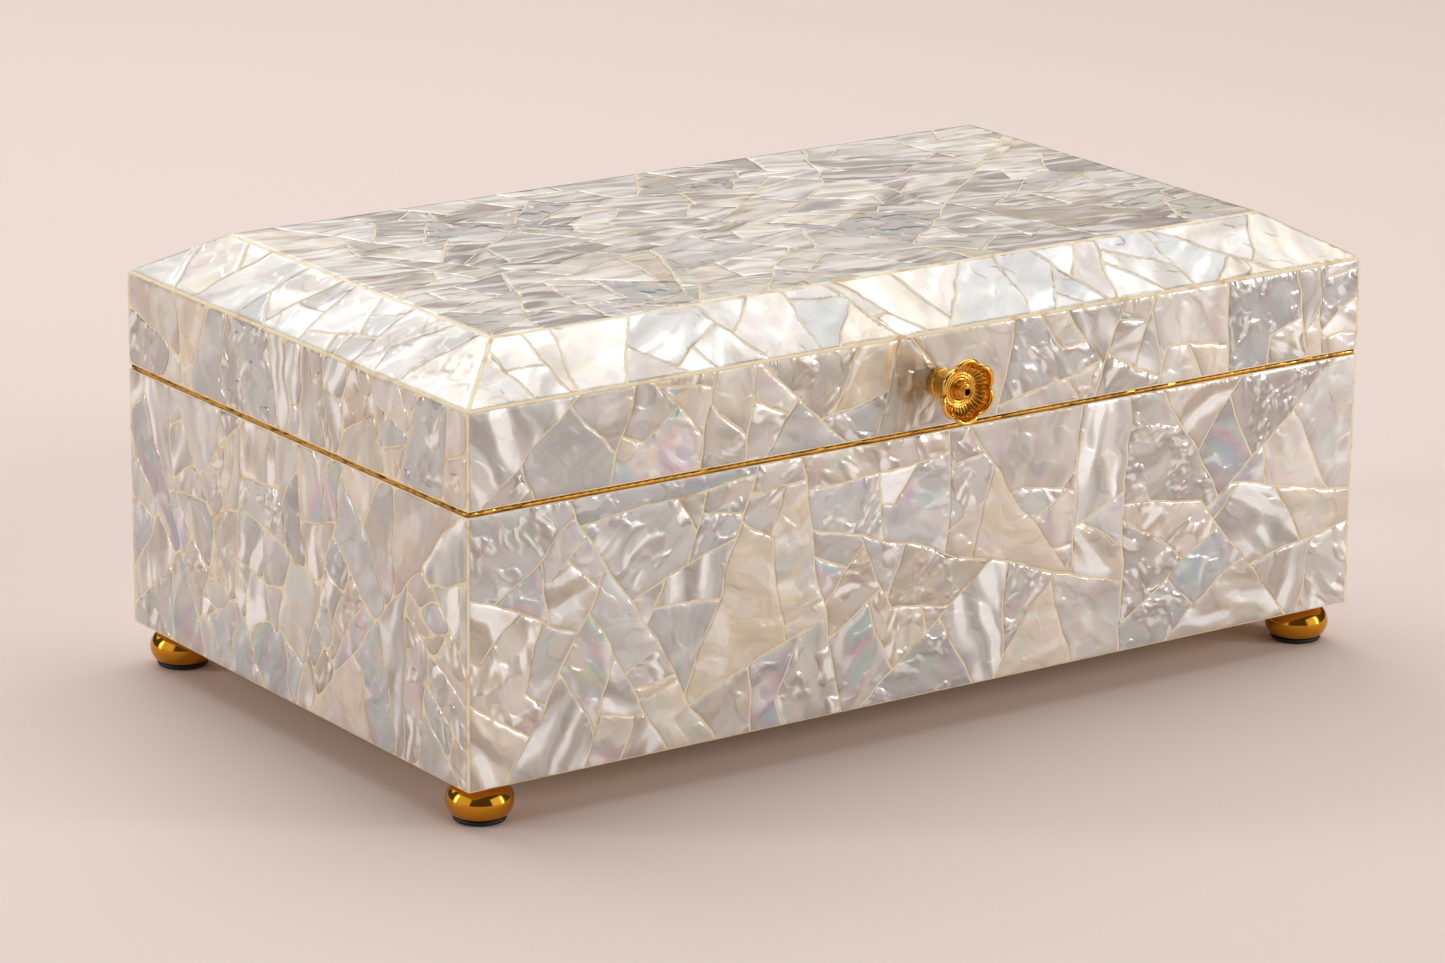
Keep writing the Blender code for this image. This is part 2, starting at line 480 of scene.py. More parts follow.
@dataclass(frozen=True)
class Nacre:
    """Mother of pearl, sawn thin, ground and polished, and set under clear lacquer.

    The eye sees a milky ground with cool and creamy clouds, folds in the growth layers that carry a painted highlight
    on one flank and painted shade on the other, creases and blisters that catch small hard lights, and pools of pink,
    sea green and lilac.
    """

    cut: Cut
    pale: str
    shade: str
    fold_length: float
    fold_width: float
    fold_height: float
    # Slope of a fold at which its painted highlight and painted shade are full
    flank: float
    calm: float
    # Greatest share of the painted highlight on a fold's uphill flank; the painted shade on the downhill flank takes
    # half
    sheen: float
    rainbow: float
    roughness: float
    honey: float = 0.0
    crease_height: float = 0.0
    blister_height: float = 0.0
    metallic: float = 0.22
    contrast: float = 0.16
    silk: float = 0.14

    def make(self) -> Material:
        """Builds the material from the shard's own growth map, whose units are metres.

        Returns:
            The new material.
        """
        material, tree, shader = new_finish(self.cut.value)
        add = partial(add_node, tree)
        grain = add("UVMap", uv_map="growth")
        tone, hue = (add("Attribute", attribute_name=name).outputs["Fac"] for name in ("tone", "hue"))

        # Growth lines wander by up to 2 mm either way over 13 mm
        drift = add("TexNoise", {"Vector": grain, "Scale": 1 / (13 * MM), "Detail": 1.0}, noise_dimensions="2D")
        centred = add("VectorMath", {0: drift.outputs["Color"], 1: (0.5, 0.5, 0.5)}, operation="SUBTRACT")
        place = add("VectorMath", {0: centred, 1: (4 * MM,) * 3, 2: grain}, operation="MULTIPLY_ADD")

        noise = {}
        for name, (length, width, detail) in PATTERNS.items():
            spot = add("VectorMath", {0: place, 1: (1 / length, 1 / width, 1.0)}, operation="MULTIPLY")
            noise[name] = add("TexNoise", {"Vector": spot, "Scale": 1.0, "Detail": detail}, noise_dimensions="2D")

        # Folds of the growth layers, read at two spots a seventh of a fold apart each way, which gives their slope.
        # The slope lays a painted highlight on each fold's uphill flank and painted shade on its downhill flank
        fold = {}
        for name, shift in (("here", 0.0), ("uphill", 0.14)):
            spot = add("VectorMath", {0: place, 1: (1 / self.fold_length, 1 / self.fold_width, 1.0),
                                      2: (shift, shift, 0.0)}, operation="MULTIPLY_ADD")
            fold[name] = add("TexNoise", {"Vector": spot, "Scale": 1.0, "Detail": 1.0, "Distortion": 0.25},
                             noise_dimensions="2D")
        # They run out between the clouds
        lively = add("MapRange", {0: noise["cloud"], 1: 0.44, 2: 0.58, 3: self.calm, 4: 1.0},
                     interpolation_type="SMOOTHSTEP")
        slope = add("Math", {0: fold["uphill"], 1: fold["here"]}, operation="SUBTRACT")
        slope = add("Math", {0: slope, 1: lively}, operation="MULTIPLY")

        # Sharp creases 5 mm apart, and drop-like blisters 3 mm apart
        crease = add("TexNoise", {"Vector": place, "Scale": 1 / (5 * MM), "Detail": 1.0, "Roughness": 0.42},
                     noise_type="RIDGED_MULTIFRACTAL", normalize=True, noise_dimensions="2D")
        cell = add("TexVoronoi", {"Vector": place, "Scale": 1 / (3 * MM)}, voronoi_dimensions="2D")
        dome = add("MapRange", {0: cell, 1: 0.12, 2: 0.6, 3: 1.0, 4: 0.0}, interpolation_type="SMOOTHSTEP")
        high = 0.0
        for form, height in ((fold["here"], self.fold_height), (crease, self.crease_height),
                             (dome, self.blister_height)):
            if height:
                high = add("Math", {0: form, 1: height, 2: high}, operation="MULTIPLY_ADD")
        high = add("Math", {0: high, 1: lively}, operation="MULTIPLY")
        for form in (noise["silk"], noise["grit"]):
            high = add("Math", {0: form, 1: 0.003 * MM, 2: high}, operation="MULTIPLY_ADD")
        bump = add("Bump", {"Height": high, "Strength": 1.0, "Distance": 1.0})

        # A pale shard has more of the light colour and a dark one less, and the shard's own hue moves from cool grey
        # to cream and shifts a little in its clouds
        lit = add("Math", {0: tone, 1: self.contrast, 2: noise["band"]}, operation="MULTIPLY_ADD")
        middle = self.contrast / 2
        shifted = add("Math", {0: noise["cloud"], 1: 0.9, 2: hue}, operation="MULTIPLY_ADD")
        rainbow = add("ValToRGB", {0: noise["pool"]})
        fill_ramp(rainbow, RAINBOW_STOPS)
        vein = add("Math", {0: noise["band"], 1: 0.5}, operation="SUBTRACT")
        vein = add("Math", {0: vein}, operation="ABSOLUTE")
        # Each layer: what drives it, where it starts and is full, its greatest share, and its colour
        layers = (
            (lit, 0.34 + middle, 0.62 + middle, 1.0, linear(self.pale)),
            (shifted, 0.95, 0.50, 0.50, linear("#BBC2C5")),
            (shifted, 1.05, 1.50, 0.50, linear("#E3CFAC")),
            (noise["silk"], 0.50, 0.80, self.silk, linear("#F7F4EF")),
            (noise["patch"], 0.42, 0.64, self.rainbow, rainbow),
            # Painted shade on each fold's downhill flank, and a painted highlight on its uphill flank
            (slope, 0.0, -self.flank, 0.50 * self.sheen, linear("#988E87")),
            (slope, 0.0, self.flank, self.sheen, linear("#FFFEFB")),
            (vein, 0.05, 0.0, self.honey, linear("#DDBD8A")),
        )
        colour = linear(self.shade)
        for driver, begins, full, most, over in layers:
            share = add("MapRange", {0: driver, 1: begins, 2: full, 3: 0.0, 4: most},
                        interpolation_type="SMOOTHSTEP")
            colour = add("Mix", {0: share, 1: colour, 2: over}, data_type="RGBA")
        bright = add("MapRange", {0: tone, 1: 0.0, 2: 1.0, 3: 0.84, 4: 1.13})
        fill_inputs(tree, shader, {
            "Base Color": add("HueSaturation", {"Color": colour, "Value": bright}),
            "Roughness": add("MapRange", {0: noise["cloud"], 1: 0.35, 2: 0.65, 3: self.roughness + 0.08,
                                          4: self.roughness - 0.05}),
            "Normal": bump,
            "Coat Normal": bump,
            "Metallic": self.metallic,
            "IOR": 1.56,
            "Coat Weight": 1.0,
            "Coat Roughness": 0.05,
            "Coat IOR": 1.5,
        })
        return material


NACRES = (
    # Long soft folds like satin
    Nacre(Cut.SILKY, pale="#E2D9CF", shade="#C8BDB2", fold_length=34 * MM, fold_width=9 * MM, fold_height=0.7 * MM,
          flank=0.085, calm=0.6, sheen=1.0, rainbow=0.14, roughness=0.32, honey=0.12),
    # Smooth and nearly white, with wide soft gleams that are partly painted highlights
    Nacre(Cut.SATIN, pale="#E8E0D7", shade="#CDC3B9", fold_length=44 * MM, fold_width=16 * MM, fold_height=0.5 * MM,
          flank=0.10, calm=0.5, sheen=0.75, rainbow=0.22, roughness=0.34, contrast=0.25),
    # Milky and almost even
    Nacre(Cut.CLOUDY, pale="#DDD3C8", shade="#C7BBAF", fold_length=20 * MM, fold_width=13 * MM, fold_height=0.5 * MM,
          flank=0.14, calm=0.4, sheen=0.40, rainbow=0.28, roughness=0.36, honey=0.08),
    # Flakes and wisps like crumpled foil
    Nacre(Cut.RIPPLED, pale="#D9CFC5", shade="#BDB1A6", fold_length=11 * MM, fold_width=4.6 * MM,
          fold_height=0.55 * MM, flank=0.10, calm=0.05, sheen=0.9, rainbow=0.22, roughness=0.24, honey=0.08,
          crease_height=0.06 * MM, metallic=0.30),
    # Small drops and dents like hammered silver
    Nacre(Cut.BLISTERED, pale="#D6CEC6", shade="#B9B0A8", fold_length=5.5 * MM, fold_width=3.6 * MM,
          fold_height=0.34 * MM, flank=0.11, calm=0.0, sheen=0.7, rainbow=0.28, roughness=0.22, honey=0.08,
          crease_height=0.03 * MM, blister_height=0.10 * MM, metallic=0.30),
    # Pools of pink, lilac and sea green in a grey ground
    Nacre(Cut.RAINBOW, pale="#D2CDCA", shade="#BAB4B1", fold_length=16 * MM, fold_width=7 * MM, fold_height=0.5 * MM,
          flank=0.12, calm=0.2, sheen=0.5, rainbow=0.78, roughness=0.28, crease_height=0.04 * MM,
          blister_height=0.02 * MM),
    # Cream with amber veins, from near the hinge of the shell
    Nacre(Cut.HONEY, pale="#E4DACA", shade="#D3C6B0", fold_length=20 * MM, fold_width=8 * MM, fold_height=0.5 * MM,
          flank=0.12, calm=0.4, sheen=0.45, rainbow=0.10, roughness=0.32, honey=0.45),
    # Long fine streaks of white, grey and mauve along the growth lines
    Nacre(Cut.STREAKY, pale="#FBF2E9", shade="#7A6769", fold_length=46 * MM, fold_width=6 * MM,
          fold_height=0.12 * MM, flank=0.11, calm=0.7, sheen=0.85, rainbow=0.38, roughness=0.34, honey=0.05,
          contrast=0.55, silk=0.30),
)


@dataclass(frozen=True, kw_only=True)
class Mottled:
    """A surface whose two colours mingle in clouds, with a fine grain in relief, in the box's own coordinates."""

    name: str
    colour: str
    second: str
    # Clouds: their width and detail, and between which levels of theirs the second colour comes in, and how far
    cloud_width: float
    cloud_detail: float = 3.0
    cloud_roughness: float = 0.5
    mingling: tuple[float, float, float] = (0.0, 1.0, 1.0)
    # How rough it is where the clouds are low and where they are high, and the grain
    roughness: tuple[float, float]
    grain_width: float = 0.4 * MM
    grain_height: float = 0.0
    metallic: float = 0.0
    coat: float = 0.0
    coat_roughness: float = 0.03

    def make(self) -> Material:
        """Builds the material.

        Returns:
            The new material.
        """
        material, tree, shader = new_finish(self.name)
        add = partial(add_node, tree)
        place = add("TexCoord").outputs["Object"]
        cloud = add("TexNoise", {"Vector": place, "Scale": 1 / self.cloud_width, "Detail": self.cloud_detail,
                                 "Roughness": self.cloud_roughness})
        begins, full, most = self.mingling
        share = add("MapRange", {0: cloud, 1: begins, 2: full, 3: 0.0, 4: most})
        if self.metallic:
            # Tarnish also gathers where the piece says that it is sunk
            sunk = add("Attribute", attribute_name="sunk").outputs["Fac"]
            share = add("Math", {0: share, 1: sunk}, operation="ADD", use_clamp=True)
        if self.grain_height:
            grain = add("TexNoise", {"Vector": place, "Scale": 1 / self.grain_width, "Detail": 2.0})
            high = add("Math", {0: grain, 1: self.grain_height}, operation="MULTIPLY")
            fill_inputs(tree, shader, {"Normal": add("Bump", {"Height": high, "Distance": 1.0})})
        smooth, rough = self.roughness
        fill_inputs(tree, shader, {
            "Base Color": add("Mix", {0: share, 1: linear(self.colour), 2: linear(self.second)}, data_type="RGBA"),
            "Roughness": add("MapRange", {0: cloud, 1: 0.3, 2: 0.7, 3: smooth, 4: rough}),
            "Metallic": self.metallic,
            "Coat Weight": self.coat,
            "Coat Roughness": self.coat_roughness,
        })
        return material


@dataclass(frozen=True, kw_only=True)
class Resin(Mottled):
    """Cream filler poured between the shards and sanded flush.

    The eye sees it half matt, with ochre spots 6 mm across and sanding grit, drawn 0.4 mm wide so that it shows.
    """

    name: str = "cream_resin_filler"
    colour: str = "#F2DFB9"
    second: str = "#CDA56A"
    cloud_width: float = 6 * MM
    mingling: tuple[float, float, float] = (0.55, 0.72, 0.85)
    roughness: tuple[float, float] = (0.38, 0.55)
    grain_height: float = 0.02 * MM
    coat: float = 0.3
    coat_roughness: float = 0.15


@dataclass(frozen=True, kw_only=True)
class Brass(Mottled):
    """Brass under a clear golden lacquer, with faint clouds of tarnish 5 mm across.

    The eye sees yellow gold where it faces a light, and amber to brown where it reflects the floor and the box. Marks
    from turning or casting are drawn 0.4 mm wide so that they show.
    """

    cloud_width: float = 5 * MM
    cloud_roughness: float = 0.55
    metallic: float = 1.0


# The seam's rolled strip: bright where it stands proud, brown in its nicks
ENGRAVED_BRASS = Brass(name="engraved_brass", colour="#EEB44A", second="#7A4812", mingling=(0.40, 0.70, 0.35),
                       roughness=(0.104, 0.169), grain_height=0.006 * MM)
# The knob: soft gold with amber hollows
CAST_BRASS = Brass(name="cast_brass", colour="#F4BC56", second="#98591A", mingling=(0.40, 0.70, 0.12),
                   roughness=(0.152, 0.247), grain_height=0.003 * MM)
# The feet: a deep orange mirror with almost no marks
POLISHED_BRASS = Brass(name="polished_brass", colour="#D8952C", second="#B8741C", mingling=(0.40, 0.70, 0.40),
                       roughness=(0.088, 0.143), grain_height=0.0007 * MM)
# The inside of the knob's hole: dull and nearly black, painted shade
PAINTED_HOLE_SHADE = Brass(name="painted_hole_shade", colour="#2A1C0C", second="#0E0A06", mingling=(0.40, 0.70, 0.80),
                     roughness=(0.36, 0.585), grain_height=0.01 * MM)


@dataclass(frozen=True, kw_only=True)
class Rubber(Mottled):
    """Moulded black rubber, nearly matt, with a soft sheen on its rounded edge and a grain half a millimetre wide."""

    name: str = "moulded_black_rubber"
    colour: str = "#0C0C0B"
    second: str = "#1D1C1A"
    cloud_width: float = 0.5 * MM
    cloud_detail: float = 2.0
    roughness: tuple[float, float] = (0.45, 0.62)
    grain_width: float = 0.5 * MM
    grain_height: float = 0.02 * MM


@dataclass(frozen=True, kw_only=True)
class PaintedBoard(Mottled):
    """Pale matt emulsion rolled on board, with a faint tooth 1.1 mm wide in its colour."""

    name: str = "painted_board"
    colour: str = "#E7D6CE"
    second: str = "#E1CFC6"
    cloud_width: float = 1.1 * MM
    cloud_detail: float = 2.0
    roughness: tuple[float, float] = (0.75, 0.75)


# ---------------------------------------------------------------------------------------------------------------
# Shell cladding


@dataclass
class ShellPanel:
    """One face of the box, clad in shards of shell with narrow joints between them.

    The panel is laid out flat: its own x runs along the face, y up the face and z out of it.
    """

    name: str
    corners: tuple[tuple[float, float], ...]
    place: Matrix
    seed: int
    cuts: dict[Cut, float]
    # How the shell grew: its direction and how far that varies, in degrees, and how pale the shards are
    growth_turn: float = 60.0
    growth_spread: float = 180.0
    paleness: float = 0.5
    tone_spread: float = 0.24
    # Shards: areas in square metres, how much taller than wide, and what keeps one sound
    smallest: float = 70e-6
    largest: float = 950e-6
    tall: float = 1.0
    shortest_side: float = 1.6 * MM
    sharpest_corner: float = 36.0
    most_shards: int = 600
    # Sizes drawn from a beta distribution between smallest and largest
    size_shape: tuple[float, float] = (1.5, 1.15)
    # Cuts between them: how far they tilt, in radians, and how far they lie from the middle
    tries: int = 60
    usual_tilt: float = 0.5
    odd_tilt: float = 1.3
    odd_share: float = 0.3
    off_centre: float = 0.35
    # Corners closer than this become one, the corners of shards are rounded off this far but by no more than this
    # share of their shortest side, a side keeps this much when it is drawn in, and a smaller crumb is lost
    shortest_jog: float = 0.8 * MM
    rounding: float = 0.0
    rounded_share: float = 0.4
    spare_side: float = 0.1 * MM
    crumb: float = 4e-6
    # Neighbours that stay together share this much of their rims, and may be this much over the largest size
    shared_rim: float = 0.13
    joined_share: float = 0.5
    joined_excess: float = 1.1
    # Joints: their width, how far they wander and how rough their edges are
    joint: float = 0.58 * MM
    wander: float = 4.4 * MM
    chip: float = 0.8 * MM
    # Section of a shard, measured from the box's face, and its broken top edge
    proud: float = 0.09 * MM
    deep: float = 0.45 * MM
    edge_width: float = 0.12 * MM
    edge_drop: float = 0.05 * MM
    # Triangles: their size, the longest side to start from, the ratio of one pass to the next, and how far from
    # flat, in degrees, two may be and still be rearranged
    fineness: float = 1.5 * MM
    coarsest: float = 20 * MM
    pass_ratio: float = 1.5
    flatness: float = 4.0
    # Relief: the swelling and folding of the shell, how unevenly the shards are laid, the least share of the relief
    # that a shard has, and how far in from a shard's rim and from the panel's rim it fades in
    swell: float = 0.50 * MM
    fold: float = 0.17 * MM
    lift: float = 0.05 * MM
    least_relief: float = 0.25
    shard_fade: tuple[float, float] = (0.2 * MM, 2.0 * MM)
    panel_fade: tuple[float, float] = (0.2 * MM, 7.0 * MM)
    # Levels of the two reliefs that stay in place, and how far apart the panels' layers of relief lie
    swell_level: float = 0.15
    fold_level: float = 0.05
    layer_step: float = 37 * MM

    @property
    def layer(self) -> float:
        """Height at which the panel is laid out, its own for each one, so that no two have the same relief."""
        return self.seed * self.layer_step

    def make(self, finishes: dict[Cut, Material]) -> None:
        """Cuts, relieves and lays the shards of this face.

        Args:
            finishes: The material of each cut of shell.
        """
        rng = random.Random(self.seed)
        piece = self.blank()
        with editing(piece):
            self.crack(piece, rng)
            self.join_some(piece, rng)
        outlines = self.thicken(piece)
        self.refine(piece)
        lots = self.draw_lots(len(outlines), rng)
        self.dress(piece, lots, finishes)
        self.relieve(piece, outlines, lots)
        set_place(piece, self.place @ Matrix.Translation((0, 0, -self.layer)))
        finish_piece(piece, "shell_mosaic", sharp=40.0)

    def blank(self) -> Object:
        """Trims a flat sheet to the outline of the face.

        Returns:
            The sheet.
        """
        xs = [x for x, _ in self.corners]
        ys = [y for _, y in self.corners]
        piece = new_sheet(self.name, 1.0)
        with editing(piece):
            choose_all(Part.FACES)
            bpy.ops.transform.resize(value=(max(xs) - min(xs), max(ys) - min(ys), 1))
            bpy.ops.transform.translate(value=((max(xs) + min(xs)) / 2, (max(ys) + min(ys)) / 2, self.layer))
            for (x0, y0), (x1, y1) in zip(self.corners, self.corners[1:] + self.corners[:1]):
                if abs(x1 - x0) > TINY and abs(y1 - y0) > TINY:
                    choose_all(Part.FACES)
                    bpy.ops.mesh.bisect(plane_co=(x0, y0, self.layer), plane_no=(y1 - y0, x0 - x1, 0),
                                        clear_outer=True, threshold=TINY)
        return piece

    def crack(self, piece: Object, rng: random.Random) -> None:
        """Bisects the shard that is furthest over its size until none is over it.

        Args:
            piece: The sheet in edit mode.
            rng: Where the draws come from.
        """
        bpy.ops.mesh.select_mode(type=Part.FACES.value)
        bmesh.from_edit_mesh(piece.data).faces.layers.int.new("shard")
        limits: dict[int, float] = {}
        count = 1
        while count < self.most_shards:
            skin, mark = self.shards(piece)
            worst, excess = None, 1.0
            for face in skin.faces:
                if face[mark] not in limits:
                    limits[face[mark]] = self.draw_size(rng)
                over = face.calc_area() / limits[face[mark]]
                if over > excess:
                    worst, excess = face, over
            if worst is None:
                return
            parent = worst[mark]
            line = self.draw_line([vert.co.xy for vert in worst.verts], rng)
            if line is None:
                limits[parent] = math.inf
                continue
            for face in skin.faces:
                face.select_set(face is worst)
            bmesh.update_edit_mesh(piece.data)
            bpy.ops.mesh.bisect(plane_co=(*line[0], self.layer), plane_no=(*line[1], 0), threshold=TINY)
            skin, mark = self.shards(piece)
            for half in [face for face in skin.faces if face[mark] == parent][1:]:
                half[mark] = count
                count += 1
            limits.pop(parent)

    @staticmethod
    def shards(piece: Object) -> tuple[BMesh, BMLayerItem]:
        """Reads the mesh of a sheet in edit mode, with a face for each shard, and the layer of their numbers."""
        skin = bmesh.from_edit_mesh(piece.data)
        return skin, skin.faces.layers.int["shard"]

    def draw_size(self, rng: random.Random) -> float:
        """Draws the largest area that one shard may have, in square metres."""
        return self.smallest * (self.largest / self.smallest) ** rng.betavariate(*self.size_shape)

    def draw_line(self, outline: list[Vector], rng: random.Random) -> tuple[Vector, Vector] | None:
        """Draws a line, mostly across a shard, that cuts it into two sound ones.

        Args:
            outline: The shard's corners in order.
            rng: Where the draws come from.

        Returns:
            A point on the line and its normal, or None if no sound cut was found.
        """
        centre = sum(outline, Vector((0, 0))) / len(outline)
        spans = [Vector((spot.x - centre.x, (spot.y - centre.y) / self.tall)) for spot in outline]
        longest = max(spans, key=lambda span: span.length)
        reach = longest.length * self.off_centre
        for _ in range(self.tries):
            tilt = self.odd_tilt if rng.random() < self.odd_share else self.usual_tilt
            turn = math.atan2(longest.y, longest.x) + rng.gauss(0, tilt)
            normal = Vector((math.cos(turn), math.sin(turn) / self.tall)).normalized()
            point = centre + Vector((rng.uniform(-1, 1) * reach, rng.uniform(-1, 1) * reach * self.tall))
            heights = [(spot - point).dot(normal) for spot in outline]
            low, high = [], []
            for spot, height, after, next_height in zip(outline, heights, outline[1:] + outline[:1],
                                                        heights[1:] + heights[:1]):
                (high if height > 0 else low).append(spot)
                if (height > 0) != (next_height > 0):
                    crossing = spot.lerp(after, height / (height - next_height))
                    low.append(crossing)
                    high.append(crossing)
            if len(low) > 2 and len(high) > 2 and self.is_sound(low) and self.is_sound(high):
                return point, normal
        return None

    def is_sound(self, outline: list[Vector]) -> bool:
        """Says whether a shard has no needle corner and no splinter side.

        Args:
            outline: The shard's corners in order.

        Returns:
            True if it is sound.
        """
        for last, spot, after in zip(outline[-1:] + outline[:-1], outline, outline[1:] + outline[:1]):
            if (after - spot).length < self.shortest_side:
                return False
            if (last - spot).angle(after - spot, 0.0) < math.radians(self.sharpest_corner):
                return False
        return True

    def join_some(self, piece: Object, rng: random.Random) -> None:
        """Joins some neighbours, which breaks up long straight joints and leaves kinked shards.

        Args:
            piece: The cracked sheet in edit mode.
            rng: Where the draws come from.
        """
        skin = bmesh.from_edit_mesh(piece.data)
        used: set[int] = set()
        bpy.ops.mesh.select_mode(type=Part.EDGES.value)
        bpy.ops.mesh.select_all(action="DESELECT")
        for edge in skin.edges:
            pair = edge.link_faces
            if len(pair) != 2:
                continue
            key = {face.index for face in pair}
            area = sum(face.calc_area() for face in pair)
            rim = sum(side.calc_length() for face in pair for side in face.edges)
            shared = [side for side in pair[0].edges if pair[1] in side.link_faces]
            border = sum(side.calc_length() for side in shared)
            small = area < self.largest * self.joined_excess
            fits = not key & used and small and border > self.shared_rim * rim
            if fits and rng.random() < self.joined_share:
                used |= key
                for side in shared:
                    side.select_set(True)
        bmesh.update_edit_mesh(piece.data)
        bpy.ops.mesh.dissolve_edges(use_verts=False)

    def thicken(self, piece: Object) -> list[np.ndarray]:
        """Parts the shards by the joint, gives them thickness, and breaks their top edges.

        Args:
            piece: The cracked sheet in object mode.

        Returns:
            The outline of each shard's top, in the panel's x and y.
        """
        reach = max(x for x, _ in self.corners)
        outlines = []
        with editing(piece):
            choose_all(Part.FACES)
            bpy.ops.mesh.remove_doubles(threshold=self.shortest_jog)
            choose_all(Part.FACES)
            bpy.ops.mesh.edge_split(type="EDGE")
            choose_all(Part.FACES)
            bpy.ops.mesh.dissolve_limited(angle_limit=math.radians(1))
            if self.rounding:
                self.round_off(piece)
            while choose(piece, Part.EDGES, self.is_cramped):
                bpy.ops.mesh.merge(type="COLLAPSE")
            choose_all(Part.FACES)
            bpy.ops.mesh.inset(thickness=self.joint / 2, use_individual=True)
            bpy.ops.mesh.select_all(action="INVERT")
            bpy.ops.mesh.delete(type="FACE")
            # A crumb, or a splinter that the inset threw out of the panel, is lost in the resin
            choose(piece, Part.FACES, lambda face: face.calc_area() < self.crumb
                   or any(abs(vert.co.x) > reach for vert in face.verts))
            bpy.ops.mesh.delete(type="FACE")
            skin, mark = self.shards(piece)
            for number, face in enumerate(skin.faces):
                face[mark] = number
                outlines.append(np.array([vert.co.xy for vert in face.verts]))
            bmesh.update_edit_mesh(piece.data)
            choose_all(Part.FACES)
            bpy.ops.transform.translate(value=(0, 0, -self.deep))
            rise = self.deep + self.proud - self.edge_drop
            bpy.ops.mesh.extrude_region_move(TRANSFORM_OT_translate={"value": (0, 0, rise)})
            bpy.ops.mesh.inset(thickness=self.edge_width, depth=self.edge_drop, use_individual=True)
            choose_all(Part.FACES)
            bpy.ops.mesh.normals_make_consistent(inside=False)
        return outlines

    def round_off(self, piece: Object) -> None:
        """Rounds the corners of every shard, less where one of its sides is short.

        Args:
            piece: The sheet of parted shards in edit mode.
        """
        skin, mark = self.shards(piece)
        offsets = {}
        for face in skin.faces:
            shortest = min(side.calc_length() for side in face.edges)
            offsets[face[mark]] = min(self.rounding, self.rounded_share * shortest)
        for number, offset in offsets.items():
            skin, mark = self.shards(piece)
            for face in skin.faces:
                face.select_set(face[mark] == number)
            bmesh.update_edit_mesh(piece.data)
            bpy.ops.mesh.bevel(offset=offset, segments=2, affect="VERTICES")

    def is_cramped(self, side: BMEdge) -> bool:
        """Says whether a side would vanish when its shard is drawn in by the joint and by the broken edge.

        Args:
            side: One side of a parted shard.

        Returns:
            True if it is too short for the corners at its ends.
        """
        needed = self.spare_side
        for corner in (side.link_loops[0], side.link_loops[0].link_loop_next):
            drawn_in = (self.joint / 2 + self.edge_width) / math.tan(max(corner.calc_angle(), TINY) / 2)
            needed += drawn_in if corner.is_convex else -drawn_in
        return side.calc_length() < needed

    def refine(self, piece: Object) -> None:
        """Divides the tops into small triangles of about one size.

        Args:
            piece: The piece in object mode.
        """
        finest = self.fineness * 1
        limits = [finest, finest]
        while limits[0] < self.coarsest:
            limits.insert(0, limits[0] * self.pass_ratio)
        with editing(piece):
            choose_all(Part.EDGES)
            bpy.ops.mesh.quads_convert_to_tris(ngon_method="BEAUTY")
            for limit in limits:
                if choose(piece, Part.EDGES, partial(self.is_long, limit)):
                    bpy.ops.mesh.subdivide(number_cuts=1, ngon=False)
                    choose_all(Part.EDGES)
                    bpy.ops.mesh.quads_convert_to_tris(ngon_method="BEAUTY")
                    bpy.ops.mesh.beautify_fill(angle_limit=math.radians(self.flatness))

    @staticmethod
    def is_long(longest: float, edge: BMEdge) -> bool:
        """Says whether an edge is too long and one of its faces looks out of the panel."""
        return edge.calc_length() > longest and any(face.normal.z > FACING_OUT for face in edge.link_faces)

    def draw_lots(self, count: int, rng: random.Random) -> dict[str, np.ndarray]:
        """Draws each shard's cut, colour, growth direction and height.

        Args:
            count: How many shards there are.
            rng: Where the draws come from.

        Returns:
            One array for each property, with an entry for each shard.
        """
        kinds, weights = list(self.cuts), list(self.cuts.values())
        lots = [{
            "cut": list(Cut).index(rng.choices(kinds, weights)[0]),
            "turn": math.radians(self.growth_turn + rng.uniform(-1, 1) * self.growth_spread),
            "across": rng.uniform(0, MAP_REACH),
            "along": rng.uniform(0, MAP_REACH),
            "tone": min(1.0, max(0.0, rng.gauss(self.paleness, self.tone_spread))),
            "hue": rng.random(),
            "lift": rng.random(),
            "relief": rng.uniform(self.least_relief, 1.0),
        } for _ in range(count)]
        return {key: np.array([lot[key] for lot in lots], np.float32) for key in lots[0]}

    @staticmethod
    def owners(piece: Object) -> tuple[np.ndarray, np.ndarray, np.ndarray]:
        """Finds the shard of every face and of every corner.

        Args:
            piece: The piece in object mode.

        Returns:
            The shard of each face, the shard of each face corner, and the vertex of each face corner.
        """
        mesh = piece.data
        shard = read(mesh.attributes["shard"].data, "value", np.int32)
        return (shard, np.repeat(shard, read(mesh.polygons, "loop_total", np.int32)),
                read(mesh.loops, "vertex_index", np.int32))

    def dress(self, piece: Object, lots: dict[str, np.ndarray],
              finishes: dict[Cut, Material]) -> None:
        """Gives every face its shard's material, colours and growth map.

        Args:
            piece: The piece before its relief.
            lots: What was drawn for each shard.
            finishes: The material of each cut of shell.
        """
        mesh = piece.data
        for cut in Cut:
            mesh.materials.append(finishes[cut])
        face_shard, corner_shard, verts = self.owners(piece)
        mesh.polygons.foreach_set("material_index", lots["cut"].astype(np.int32)[face_shard])
        for key in ("tone", "hue"):
            mesh.attributes.new(key, "FLOAT", "FACE").data.foreach_set("value", lots[key][face_shard])
        x, y = vertex_places(piece)[verts, :2].T
        turn = lots["turn"][corner_shard]
        growth = np.stack([
            x * np.cos(turn) + y * np.sin(turn) + lots["along"][corner_shard],
            y * np.cos(turn) - x * np.sin(turn) + lots["across"][corner_shard],
        ], 1).astype(np.float32)
        mesh.uv_layers.new(name="growth").data.foreach_set("uv", growth.ravel())

